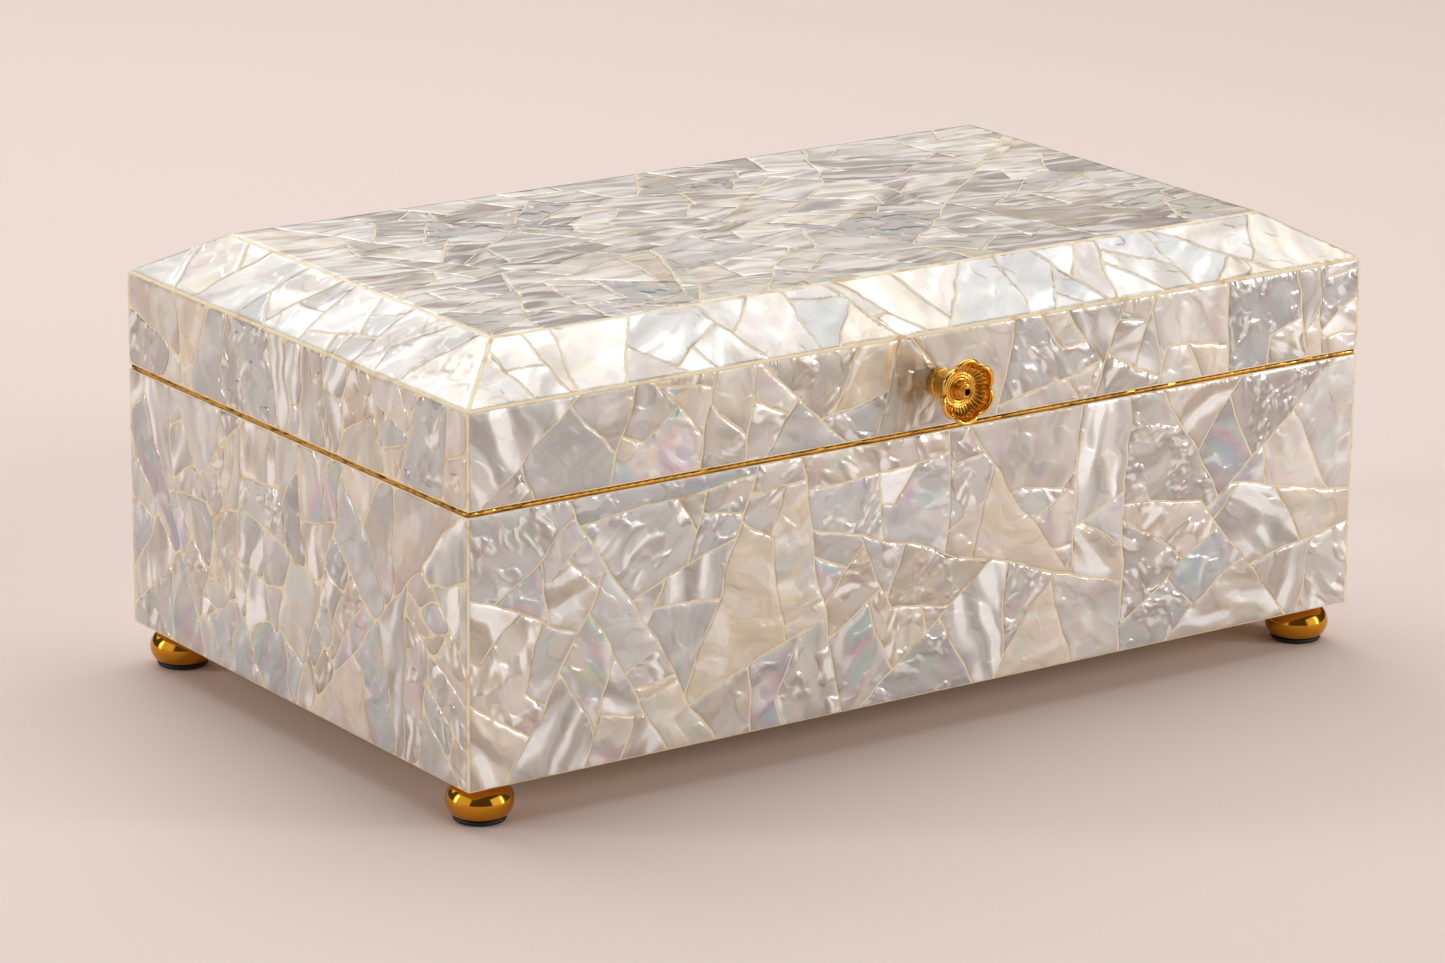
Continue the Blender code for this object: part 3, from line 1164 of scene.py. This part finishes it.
    def relieve(self, piece: Object, outlines: list[np.ndarray], lots: dict[str, np.ndarray]) -> None:
        """Bends the joints and raises the low relief of the shell, which fades out at each shard's edge.

        Args:
            piece: The piece with its tops divided.
            outlines: Each shard's top outline.
            lots: What was drawn for each shard.
        """
        spots = vertex_places(piece)
        _, corner_shard, verts = self.owners(piece)
        owner = np.zeros(len(spots), np.int32)
        owner[verts] = corner_shard
        inner = np.zeros(len(spots))
        for number, outline in enumerate(outlines):
            members = np.nonzero(owner == number)[0]
            inner[members] = depth_inside(spots[members, :2], outline)
        inland = depth_inside(spots[:, :2], np.array(self.corners))
        top = spots[:, 2] > self.layer + self.proud - 0.5 * self.edge_drop
        body = smoothstep(inner, *self.shard_fade) * top * lots["relief"][owner]
        folded = np.isin(lots["cut"][owner], [list(Cut).index(kind) for kind in (Cut.RIPPLED, Cut.BLISTERED)])
        weigh(piece, "inland", smoothstep(inland, *self.panel_fade))
        weigh(piece, "body", body)
        weigh(piece, "folded", body * folded)
        weigh(piece, "lift", lots["lift"][owner] * top)

        # Swellings 9 mm across, creased folds 8 mm apart, joints that wander over 17 to 19 mm and chip over 5 mm, by
        # one noise along x and another along y
        swell = new_texture("growth_swell", Grain.CLOUDS, 9 * MM)
        fold = new_texture("growth_fold", Grain.MARBLE, 8 * MM, turbulence=6.0, marble_type="SHARP")
        displace(piece, Axis.Z, self.swell, self.swell_level, "body", swell)
        displace(piece, Axis.Z, self.fold, self.fold_level, "folded", fold)
        for name, size, strength in (("joint_drift", 19 * MM, self.wander), ("joint_chip", 5.5 * MM, self.chip)):
            for axis, scale, basis in ((Axis.X, size, "BLENDER_ORIGINAL"), (Axis.Y, size * 0.9, "IMPROVED_PERLIN")):
                texture = new_texture(f"{name}_{axis.value}", Grain.CLOUDS, scale, noise_basis=basis)
                displace(piece, axis, strength, 0.5, "inland", texture)
        displace(piece, Axis.Z, self.lift, 0.0, "lift")
        piece.vertex_groups.clear()


@dataclass
class ShellCladding:
    """The thirteen clad faces of the box: four on the base, four upright and four sloping on the lid, and its top."""

    # What the panels leave free: along the box's edges, along the seam, and at the mitres, in edges' widths
    arris: float = 0.36 * MM
    seam: float = 0.05 * MM
    mitre_gap: float = 1.25

    @staticmethod
    def facing(side: Side) -> tuple[Matrix, float, float]:
        """Finds how one side of the box lies.

        Args:
            side: Which side.

        Returns:
            The turn about the box's middle that brings the front to it, its distance from the middle, and half its
            width.
        """
        spin = Matrix.Translation((0, MIDDLE_Y, 0)) @ Matrix.Rotation(math.radians(side.value), 4, "Z")
        if side in (Side.FRONT, Side.BACK):
            return spin, BOX_HALF_DEPTH, BOX_HALF_LENGTH
        return spin, BOX_HALF_LENGTH, BOX_HALF_DEPTH

    def upright(self, name: str, side: Side, low: float, high: float, seam_above: bool,
                **choices: object) -> ShellPanel:
        """Lays out one upright face.

        Args:
            name: The piece's name.
            side: Which side it is on.
            low: The face's lower edge.
            high: The face's upper edge.
            seam_above: Whether the seam runs along its upper edge, and not its lower one.
            choices: The panel's other fields.

        Returns:
            The panel, not yet made.
        """
        spin, out, half = self.facing(side)
        middle = (low + high) / 2
        bottom = low + (self.arris if seam_above else self.seam) - middle
        top = high - (self.seam if seam_above else self.arris) - middle
        half -= self.arris
        corners = ((-half, bottom), (half, bottom), (half, top), (-half, top))
        place = spin @ Matrix.Translation((0, -out, middle)) @ UPRIGHT
        return ShellPanel(name, corners, place, **choices)

    def slope(self, name: str, side: Side, **choices: object) -> ShellPanel:
        """Lays out one sloping face of the lid.

        Args:
            name: The piece's name.
            side: Which side it is on.
            choices: The panel's other fields.

        Returns:
            The panel, not yet made.
        """
        spin, out, half = self.facing(side)
        rise = LID_TOP - SHOULDER
        length = math.hypot(SLOPE_RUN, rise)
        mitre = SLOPE_RUN / length
        margin = self.arris * self.mitre_gap
        low, high = -length / 2 + self.arris, length / 2 - self.arris
        at_low = half - self.arris * mitre - margin
        at_high = half - (length - self.arris) * mitre - margin
        corners = ((-at_low, low), (at_low, low), (at_high, high), (-at_high, high))
        middle = Matrix.Translation((0, SLOPE_RUN / 2 - out, (SHOULDER + LID_TOP) / 2))
        return ShellPanel(name, corners, spin @ middle @ Matrix.Rotation(math.atan2(rise, SLOPE_RUN), 4, "X"),
                          **choices)

    def panels(self) -> list[ShellPanel]:
        """Lays out every clad face.

        Returns:
            The panels, not yet made.
        """
        mixed = {Cut.SILKY: 0.25, Cut.CLOUDY: 0.26, Cut.RIPPLED: 0.18, Cut.BLISTERED: 0.11, Cut.RAINBOW: 0.16,
                 Cut.HONEY: 0.04}
        bright = {Cut.SATIN: 0.74, Cut.CLOUDY: 0.08, Cut.SILKY: 0.10, Cut.RAINBOW: 0.05, Cut.HONEY: 0.03}
        streaky = {Cut.STREAKY: 0.74, Cut.SATIN: 0.12, Cut.CLOUDY: 0.02, Cut.RAINBOW: 0.11, Cut.HONEY: 0.01}
        leafy = {"growth_turn": 90.0, "growth_spread": 30.0, "tall": 1.3, "joint": 0.62 * MM, "largest": 560e-6,
                 "wander": 6.0 * MM, "rounding": 2.4 * MM}
        rows = []
        # Seeds run from 11 on the base, from 21 and 31 on the lid's upright and sloping faces, and the top has 41
        for number, side in enumerate(Side):
            word = side.name.lower()
            ends = leafy if side in (Side.LEFT, Side.RIGHT) else {}
            rows.append(self.upright(f"base_shell_{word}", side, BASE_BOTTOM, BASE_TOP, True,
                                     **{"seed": 11 + number, "cuts": mixed} | ends))
            rows.append(self.upright(f"lid_shell_{word}", side, LID_BOTTOM, SHOULDER, False,
                                     **{"seed": 21 + number, "cuts": mixed, "largest": 700e-6} | ends))
            rows.append(self.slope(f"slope_shell_{word}", side, seed=31 + number, cuts=bright, growth_turn=55.0,
                                   growth_spread=40.0, paleness=0.7, largest=650e-6, swell=0.14 * MM))
        half_x = BOX_HALF_LENGTH - SLOPE_RUN - self.arris
        half_y = BOX_HALF_DEPTH - SLOPE_RUN - self.arris
        corners = ((-half_x, -half_y), (half_x, -half_y), (half_x, half_y), (-half_x, half_y))
        rows.append(ShellPanel("top_shell", corners, Matrix.Translation((0, MIDDLE_Y, LID_TOP)), seed=41,
                               cuts=streaky, growth_turn=0.0, growth_spread=16.0, tall=0.7, joint=0.64 * MM,
                               swell=0.14 * MM))
        return rows

    def make(self, finishes: dict[Cut, Material]) -> None:
        """Makes every clad face in the finish of each shard's cut."""
        for panel in self.panels():
            panel.make(finishes)


# ---------------------------------------------------------------------------------------------------------------
# Brass and rubber


def arc(start: float, end: float, steps: int) -> list[float]:
    """Steps along an arc given in degrees, and returns its angles in radians, without its start."""
    return [math.radians(start + (end - start) * step / steps) for step in range(1, steps + 1)]


def turned(name: str, profile: list[tuple[float, float]], steps: int) -> Object:
    """Turns a closed solid on the z axis from its profile, as on a lathe.

    Args:
        name: The piece's name.
        profile: Radius and height of each point, in order from one end face to the other.
        steps: How many steps go round.

    Returns:
        The piece, still on the z axis.
    """
    piece = new_sheet(name, MM)
    with editing(piece):
        choose_all(Part.VERTS)
        bpy.ops.mesh.merge(type="CENTER")
        bpy.ops.transform.translate(value=(profile[0][0], 0, profile[0][1]))
        for (radius, height), (next_radius, next_height) in zip(profile, profile[1:]):
            step = (next_radius - radius, 0, next_height - height)
            bpy.ops.mesh.extrude_region_move(TRANSFORM_OT_translate={"value": step})
        choose_all(Part.VERTS)
        bpy.ops.mesh.spin(steps=steps, angle=math.tau, center=(0, 0, 0), axis=(0, 0, 1))
        close_skin()
    return piece


@dataclass
class FlowerKnob:
    """Cast knob: a drum on the lid, a waisted neck, and six scooped petals round a ringed boss with a hole in painted
    shade.
    """

    foot: tuple[float, float, float] = (0.0, -82.25 * MM, 101.4 * MM)
    length: float = 13.8 * MM
    drum_radius: float = 4.35 * MM
    drum_length: float = 2.6 * MM
    drum_edge: float = 0.9 * MM
    waist_radius: float = 4.0 * MM
    neck_radius: float = 4.5 * MM
    neck_length: float = 7.0 * MM
    radius: float = 9.4 * MM
    roundness: float = 0.54
    flare: float = 1.6
    rim: float = 1.3 * MM
    dip: float = 0.9 * MM
    bowl_depth: float = 4.2 * MM
    boss_radius: float = 2.8 * MM
    boss_height: float = 3.4 * MM
    rings: int = 5
    ring_steps: int = 8
    ring_depth: float = 0.2 * MM
    hole_radius: float = 0.95 * MM
    hole_depth: float = 2.2 * MM
    flute_depth: float = 0.48 * MM
    ridge_height: float = 0.7 * MM
    flutes: int = 36
    petals: int = 6
    steps: int = 336
    # The drum's lip, and the bead round the neck: its height, and its place and width along the waist
    lip: float = 0.3 * MM
    bead_height: float = 0.22 * MM
    bead_turn: float = 128.0
    bead_width: float = 0.16
    # Turned rings on the bowl's floor: their height, how far apart they are, and where they run out
    floor_ring_height: float = 0.09 * MM
    floor_ring_pitch: float = 0.8 * MM
    floor_ring_fade: tuple[float, float] = (4.6 * MM, 5.8 * MM)
    # Radii over which the petals part, the flutes and the ridges between petals begin and end, and the stain round
    # the boss begins and ends
    bloom: tuple[float, float] = (3.0 * MM, 8.2 * MM)
    flute_start: tuple[float, float] = (4.8 * MM, 5.6 * MM)
    flute_end: tuple[float, float] = (7.3 * MM, 8.0 * MM)
    ridge_start: tuple[float, float] = (3.6 * MM, 6.5 * MM)
    ridge_end: float = 8.4 * MM
    stain_start: tuple[float, float] = (2.6 * MM, 2.9 * MM)
    stain_end: tuple[float, float] = (3.1 * MM, 4.2 * MM)

    def make(self, finish: Material, dark: Material) -> None:
        """Turns the blank, presses its petals and sets it on the lid.

        Args:
            finish: The knob's brass.
            dark: The nearly black brass inside the hole, painted shade.
        """
        piece = turned("flower_knob_cast", self.profile(), self.steps)
        self.press(piece)
        piece.data.materials.append(finish)
        piece.data.materials.append(dark)
        # Faces inside the hole take the nearly black material, painted shade
        for face in piece.data.polygons:
            near = math.hypot(face.center.x, face.center.y) < self.hole_radius * 1.02
            if near and face.center.z > self.length * 0.5:
                face.material_index = 1
        set_place(piece, Matrix.Translation(self.foot) @ UPRIGHT)
        finish_piece(piece, "knob_brass", "flower_knob", sharp=60.0)

    def profile(self) -> list[tuple[float, float]]:
        """Draws the knob's section.

        Returns:
            Radius and height of each point, from the lid to the bottom of the hole.
        """
        drum, edge, lip = self.drum_radius, self.drum_edge, self.lip
        rows = [(drum - edge, 0.0)]
        rows += [(drum - edge * (1 - math.sin(turn)), edge * (1 - math.cos(turn))) for turn in arc(0, 90, 8)]
        rows += [(drum - lip * (1 - math.cos(turn)), self.drum_length - lip + lip * math.sin(turn))
                 for turn in arc(0, 80, 4)]
        half = (self.neck_length - self.drum_length) / 2
        for turn in arc(0, 180, 18):
            end = drum - lip if turn < math.pi / 2 else self.neck_radius
            radius = end - (end - self.waist_radius) * math.sin(turn)
            bead = self.bead_height * math.exp(-((turn - math.radians(self.bead_turn)) / self.bead_width) ** 2)
            rows.append((radius + bead, self.drum_length + half * (1 - math.cos(turn))))
        roll = self.rim / 2
        rim_middle = self.length - roll
        back, climb = self.neck_radius, rim_middle - self.neck_length
        rows += [(back + (self.radius - back) * out, self.neck_length + climb * out**self.flare)
                 for out in (step / 16 for step in range(1, 17))]
        rows += [(self.radius - roll * (1 - math.cos(turn)), rim_middle + roll * math.sin(turn))
                 for turn in arc(0, 200, 14)]
        wall, start = rows[-1]
        floor = self.length - self.bowl_depth
        for turn in arc(90, 0, 44):
            radius = self.boss_radius + (wall - self.boss_radius) * math.sin(turn)
            ring = self.floor_ring_height * math.cos(math.tau * (radius - self.boss_radius) / self.floor_ring_pitch)
            inner = 1 - smoothstep(np.array(radius), *self.floor_ring_fade).item()
            rows.append((radius, floor + (start - floor) * (1 - math.cos(turn)) + ring * inner))
        top_turn = math.degrees(math.acos(self.hole_radius / self.boss_radius))
        lift = self.boss_height / math.sin(math.radians(top_turn))
        for step, turn in enumerate(arc(0, top_turn, self.rings * self.ring_steps), start=1):
            sink = 1 - self.ring_depth / self.boss_radius * (0.5 - 0.5 * math.cos(math.tau * step / self.ring_steps))
            rows.append((self.boss_radius * math.cos(turn) * sink, floor + lift * math.sin(turn) * sink))
        rows.append((self.hole_radius * 0.98, rows[-1][1] - 0.1 * MM))
        rows.append((self.hole_radius * 0.95, rows[-1][1] - self.hole_depth))
        return rows

    def press(self, piece: Object) -> None:
        """Presses the round blank into petals, with a notch between two and flutes inside each.

        Args:
            piece: The turned blank on the z axis.
        """
        spots = vertex_places(piece)
        radius = np.hypot(spots[:, 0], spots[:, 1])
        angle = np.arctan2(spots[:, 1], spots[:, 0]) - math.pi / 2
        pitch = math.tau / self.petals
        across = np.abs((angle + pitch / 2) % pitch - pitch / 2) / (pitch / 2)
        lobe = self.roundness * self.radius
        centre = self.radius - lobe
        turn = across * math.pi / self.petals
        outline = centre * np.cos(turn) + np.sqrt(lobe**2 - (centre * np.sin(turn)) ** 2)
        bloom = smoothstep(radius, *self.bloom) * (spots[:, 2] > self.neck_length)
        scale = 1 + (outline / self.radius - 1) * bloom

        back = np.clip((radius - self.neck_radius) / (self.radius - self.neck_radius), 0, 1) ** self.flare
        back = self.neck_length + (self.length - self.rim / 2 - self.neck_length) * back
        inside = (spots[:, 2] > self.length - self.bowl_depth - 0.1 * MM) & (spots[:, 2] > back + 0.4 * MM)
        bowl = inside & (radius > self.boss_radius)
        flute = smoothstep(radius, *self.flute_start) * (1 - smoothstep(radius, *self.flute_end)) * bowl
        flute *= 0.5 - 0.5 * np.cos(self.flutes * angle)
        ridge = across**6 * smoothstep(radius, *self.ridge_start) * (radius < self.ridge_end) * bowl
        height = spots[:, 2] - self.dip * across**4 * bloom - self.flute_depth * flute + self.ridge_height * ridge
        move_vertices(piece, np.stack([spots[:, 0] * scale, spots[:, 1] * scale, height], 1))

        climb = np.arccos(np.clip(radius / self.boss_radius, 0, 1)) / math.acos(self.hole_radius / self.boss_radius)
        ring = (0.5 - 0.5 * np.cos(math.tau * self.rings * climb)) * (inside & ~bowl)
        stain = smoothstep(radius, *self.stain_start) * (1 - smoothstep(radius, *self.stain_end)) * inside
        mark_sunk(piece, 0.55 * flute + 0.65 * ring + 0.5 * stain)


@dataclass
class BallFoot:
    """A spun brass ball, squashed and polished, on a moulded rubber pad, one under each corner."""

    radius: float = 9.3 * MM
    bottom: float = 1.5 * MM
    height: float = 9.7 * MM
    neck_radius: float = 5.2 * MM
    pad_radius: float = 7.3 * MM
    pad_height: float = 1.4 * MM
    pad_edge: float = 1.0 * MM
    # How far the ball's flat base and the pad's top are drawn in
    ball_step: float = 0.5 * MM
    pad_step: float = 0.25 * MM
    reach_x: float = 142.5 * MM
    front_y: float = -71.95 * MM
    back_y: float = 86.05 * MM
    steps: int = 72

    def make(self, brass: Material, rubber: Material) -> None:
        """Turns a ball and a pad for each corner.

        Args:
            brass: The polished brass.
            rubber: The pads' rubber.
        """
        low = -math.degrees(math.acos(self.pad_radius / self.radius))
        high = math.degrees(math.acos(self.neck_radius / self.radius))
        sine_low, sine_high = math.sin(math.radians(low)), math.sin(math.radians(high))
        half = self.height / (sine_high - sine_low)
        ball = [(self.pad_radius - self.ball_step, 0.0)]
        ball += [(self.radius * math.cos(turn), half * (math.sin(turn) - sine_low)) for turn in arc(low, high, 30)]
        edge = self.pad_edge
        flat = self.pad_radius - edge
        pad = [(flat, 0.0)]
        pad += [(flat + edge * math.sin(turn), edge * (1 - math.cos(turn))) for turn in arc(0, 90, 10)]
        pad += [(self.pad_radius, self.pad_height - self.pad_step),
                (self.pad_radius - self.pad_step, self.pad_height)]
        for depth_word, y in (("front", self.front_y), ("back", self.back_y)):
            for side_word, x in (("left", -self.reach_x), ("right", self.reach_x)):
                corner = f"{depth_word}_{side_word}"
                foot = turned(f"ball_foot_{corner}", ball, self.steps)
                foot.data.materials.append(brass)
                set_place(foot, Matrix.Translation((x, y, self.bottom)))
                finish_piece(foot, "foot_brass", f"foot_{corner}")
                disc = turned(f"rubber_pad_{corner}", pad, self.steps)
                disc.data.materials.append(rubber)
                set_place(disc, Matrix.Translation((x, y, 0)))
                finish_piece(disc, "pad_rubber", f"foot_pad_{corner}", sharp=50.0)


@dataclass
class SeamEdge:
    """The rounded outer edge of the seam band, cut with slanting nicks and raised glints at uneven distances."""

    radius: float = 0.68 * MM
    proud: float = 0.10 * MM
    corner: float = 1.3 * MM
    corner_steps: int = 6
    rounding_steps: int = 4
    spacing: float = 0.34 * MM
    # Nicks: their depth as a share of the bar's radius, their width and what it is multiplied by, the gaps between
    # them, and how they slant
    nick_depth: float = 0.6
    nick_depths: tuple[float, float] = (0.45, 1.0)
    nick_width: float = 0.26 * MM
    nick_widths: tuple[float, float] = (0.8, 1.7)
    nick_gaps: tuple[float, float] = (1.6 * MM, 6.5 * MM)
    slant: float = 0.9
    # Glints beside them: how far off and how wide in nick widths, how high, and how far above or below the middle
    glint_gap: float = 2.4
    glint_width: float = 1.6
    glint_height: float = 0.34
    glint_rise: float = 0.35 * MM
    # Wear all round: how many swellings, how long and how high, and how thin and thick the bar may get
    waves: int = 260
    wave_lengths: tuple[float, float] = (1.0 * MM, 3.5 * MM)
    wave_heights: tuple[float, float] = (-0.10, 0.08)
    thickness: tuple[float, float] = (0.45, 1.10)
    # Tarnish gathers where the bar is thinner than this, and this fast
    stain_level: float = 0.98
    stain_gain: float = 3.0
    seed: int = 77

    def make(self, finish: Material) -> None:
        """Bends the bar round the box, cuts it and lays it in the seam.

        Args:
            finish: The band's brass.
        """
        half_x = BOX_HALF_LENGTH + self.proud - self.radius
        half_y = BOX_HALF_DEPTH + self.proud - self.radius
        piece = new_sheet("seam_band_engraved_edge", 1.0)
        with editing(piece):
            choose_all(Part.VERTS)
            bpy.ops.transform.resize(value=(2 * half_x, 2 * half_y, 1))
            bpy.ops.mesh.bevel(offset=self.corner, segments=self.corner_steps, affect="VERTICES")
            for long_side in (half_x, half_y):
                cuts = round(2 * long_side / self.spacing)
                choose(piece, Part.EDGES, lambda edge: abs(edge.calc_length() - 2 * (long_side - self.corner)) < MM)
                bpy.ops.mesh.subdivide(number_cuts=cuts)
            choose_all(Part.FACES)
            bpy.ops.mesh.delete(type="ONLY_FACE")
        bpy.ops.object.convert(target="CURVE")
        piece = bpy.context.object
        piece.data.dimensions = "3D"
        piece.data.bevel_depth = self.radius
        piece.data.bevel_resolution = self.rounding_steps
        bpy.ops.object.convert(target="MESH")
        piece = bpy.context.object
        with editing(piece):
            close_skin()
        self.engrave(piece, half_x, half_y)
        piece.data.materials.append(finish)
        set_place(piece, Matrix.Translation((0, MIDDLE_Y, (BASE_TOP + LID_BOTTOM) / 2)))
        finish_piece(piece, "seam_brass", sharp=70.0)

    def engrave(self, piece: Object, half_x: float, half_y: float) -> None:
        """Cuts the nicks and wears the bar uneven.

        Args:
            piece: The bar, round the origin.
            half_x: Half the length of its centre line.
            half_y: Half the depth of its centre line.
        """
        rng = random.Random(self.seed)
        spots = vertex_places(piece)
        x, y, z = spots.T
        core = np.stack([np.clip(x, -half_x, half_x), np.clip(y, -half_y, half_y), np.zeros(len(x))], 1)
        side = np.argmin(np.abs(np.stack([half_y + y, half_x - x, half_y - y, half_x + x])), axis=0)
        for number, (column, value) in enumerate(((1, -half_y), (0, half_x), (1, half_y), (0, -half_x))):
            core[side == number, column] = value
        run = np.choose(side, [x + half_x, 2 * half_x + y + half_y, 3 * half_x + 2 * half_y - x,
                               4 * half_x + 3 * half_y - y])
        around = 4 * (half_x + half_y)
        scale = np.ones(len(x))
        place = 0.0
        while place < around:
            place += rng.uniform(*self.nick_gaps)
            offset = run - place - self.slant * rng.choice((-1, 1)) * z
            width = self.nick_width * rng.uniform(*self.nick_widths)
            scale -= self.nick_depth * rng.uniform(*self.nick_depths) * np.exp(-(offset / width) ** 2)
            # A glint stands beside the nick, on the upper or the lower half of the bar
            glint = (offset - rng.choice((-1, 1)) * self.glint_gap * width) / (self.glint_width * width)
            above = (z - rng.choice((-1, 1)) * self.glint_rise) / self.glint_rise
            scale += self.glint_height * rng.random() * np.exp(-glint**2 - above**2)
        for _ in range(self.waves):
            middle, wide = rng.uniform(0, around), rng.uniform(*self.wave_lengths)
            scale += rng.uniform(*self.wave_heights) * np.exp(-((run - middle) / wide) ** 2)
        scale = np.clip(scale, *self.thickness)
        move_vertices(piece, core + (spots - core) * scale[:, None])
        mark_sunk(piece, (self.stain_level - scale) * self.stain_gain)


# ---------------------------------------------------------------------------------------------------------------
# Studio


@dataclass(frozen=True)
class Softbox:
    """One soft area light: where it hangs, what it faces, its width and height, and its power in watts."""

    name: str
    place: tuple[float, float, float]
    aim: tuple[float, float, float]
    size: tuple[float, float]
    power: float
    tint: str = "#FFFFFF"
    mirrored: bool = True

    def hang(self) -> None:
        """Hangs the light, which shiny faces mirror unless it only fills shadows."""
        lamp = bpy.data.lights.new(self.name, "AREA")
        lamp.shape = "RECTANGLE"
        lamp.size, lamp.size_y = self.size
        lamp.energy = self.power
        lamp.color = linear(self.tint)[:3]
        obj = bpy.data.objects.new(self.name, lamp)
        bpy.context.scene.collection.objects.link(obj)
        obj.location = self.place
        obj.rotation_euler = (Vector(self.aim) - Vector(self.place)).to_track_quat("-Z", "Y").to_euler()
        obj.visible_glossy = self.mirrored
        obj.visible_camera = False


SOFTBOXES = (
    Softbox("overhead_softbox", (0.35, 0.45, 1.6), (0, 0.1, 0.1), (2.4, 1.8), 26.0),
    Softbox("back_softbox", (-0.1, 2.0, 1.5), (0, 0, 0.1), (2.6, 1.5), 14.0),
    Softbox("horizon_softbox", (1.5, 2.2, 0.8), (0, 0, 0.1), (1.5, 0.8), 2.2, tint="#FFEBD8"),
    Softbox("left_softbox", (-1.9, 0.15, 0.76), (0, 0, 0.30), (2.2, 1.5), 8.0),
    Softbox("right_softbox", (0.95, -1.75, 0.70), (0, 0, 0.25), (1.8, 1.4), 8.0),
    Softbox("right_fill", (1.2, -2.3, 1.0), (0, 0, 0.1), (2.4, 1.4), 14.0, mirrored=False),
    Softbox("left_strip", (-1.45, 0.75, 0.5), (0, 0, 0.06), (0.22, 0.9), 6.0),
    Softbox("right_strip", (1.15, -1.2, 0.45), (0, 0, 0.06), (0.22, 0.9), 6.0),
)


@dataclass
class Studio:
    """A pale floor, soft lights and the camera at the photograph's angle."""

    camera_place: tuple[float, float, float] = (-0.8857, -1.22985, 0.4950)
    camera_turn: tuple[float, float, float] = (73.73, -0.608, -35.16)
    lens: float = 136.84
    view_reach: float = 50.0
    floor_size: float = 9.0
    sky_colour: str = "#F3EFEC"
    sky_strength: float = 0.10

    def make(self) -> None:
        """Puts up the camera, the floor and the lights."""
        camera = bpy.data.objects.new("camera", bpy.data.cameras.new("camera"))
        bpy.context.scene.collection.objects.link(camera)
        camera.location = self.camera_place
        camera.rotation_euler = [math.radians(turn) for turn in self.camera_turn]
        camera.data.lens = self.lens
        camera.data.clip_end = self.view_reach
        bpy.context.scene.camera = camera
        bpy.context.scene.view_settings.view_transform = "Standard"

        floor = new_sheet("studio_floor", self.floor_size)
        floor.data.materials.append(PaintedBoard().make())

        world = bpy.data.worlds.new("soft_room")
        world.use_nodes = True
        background = world.node_tree.nodes["Background"]
        background.inputs["Color"].default_value = linear(self.sky_colour)
        background.inputs["Strength"].default_value = self.sky_strength
        bpy.context.scene.world = world

        for softbox in SOFTBOXES:
            softbox.hang()


def main() -> None:
    """Builds the studio, the finishes and every piece of the box."""
    logging.basicConfig(level=logging.INFO, format="%(name)s: %(message)s", stream=sys.stdout)
    Studio().make()
    resin = Resin().make()
    for name in ("box_base", "lid"):
        frame["nodes"][name].data.materials[0] = resin
    band_brass = ENGRAVED_BRASS.make()
    frame["nodes"]["seam_band"].data.materials[0] = band_brass
    SeamEdge().make(band_brass)
    FlowerKnob().make(CAST_BRASS.make(), PAINTED_HOLE_SHADE.make())
    BallFoot().make(POLISHED_BRASS.make(), Rubber().make())
    ShellCladding().make({nacre.cut: nacre.make() for nacre in NACRES})


if __name__ == "__main__":
    main()
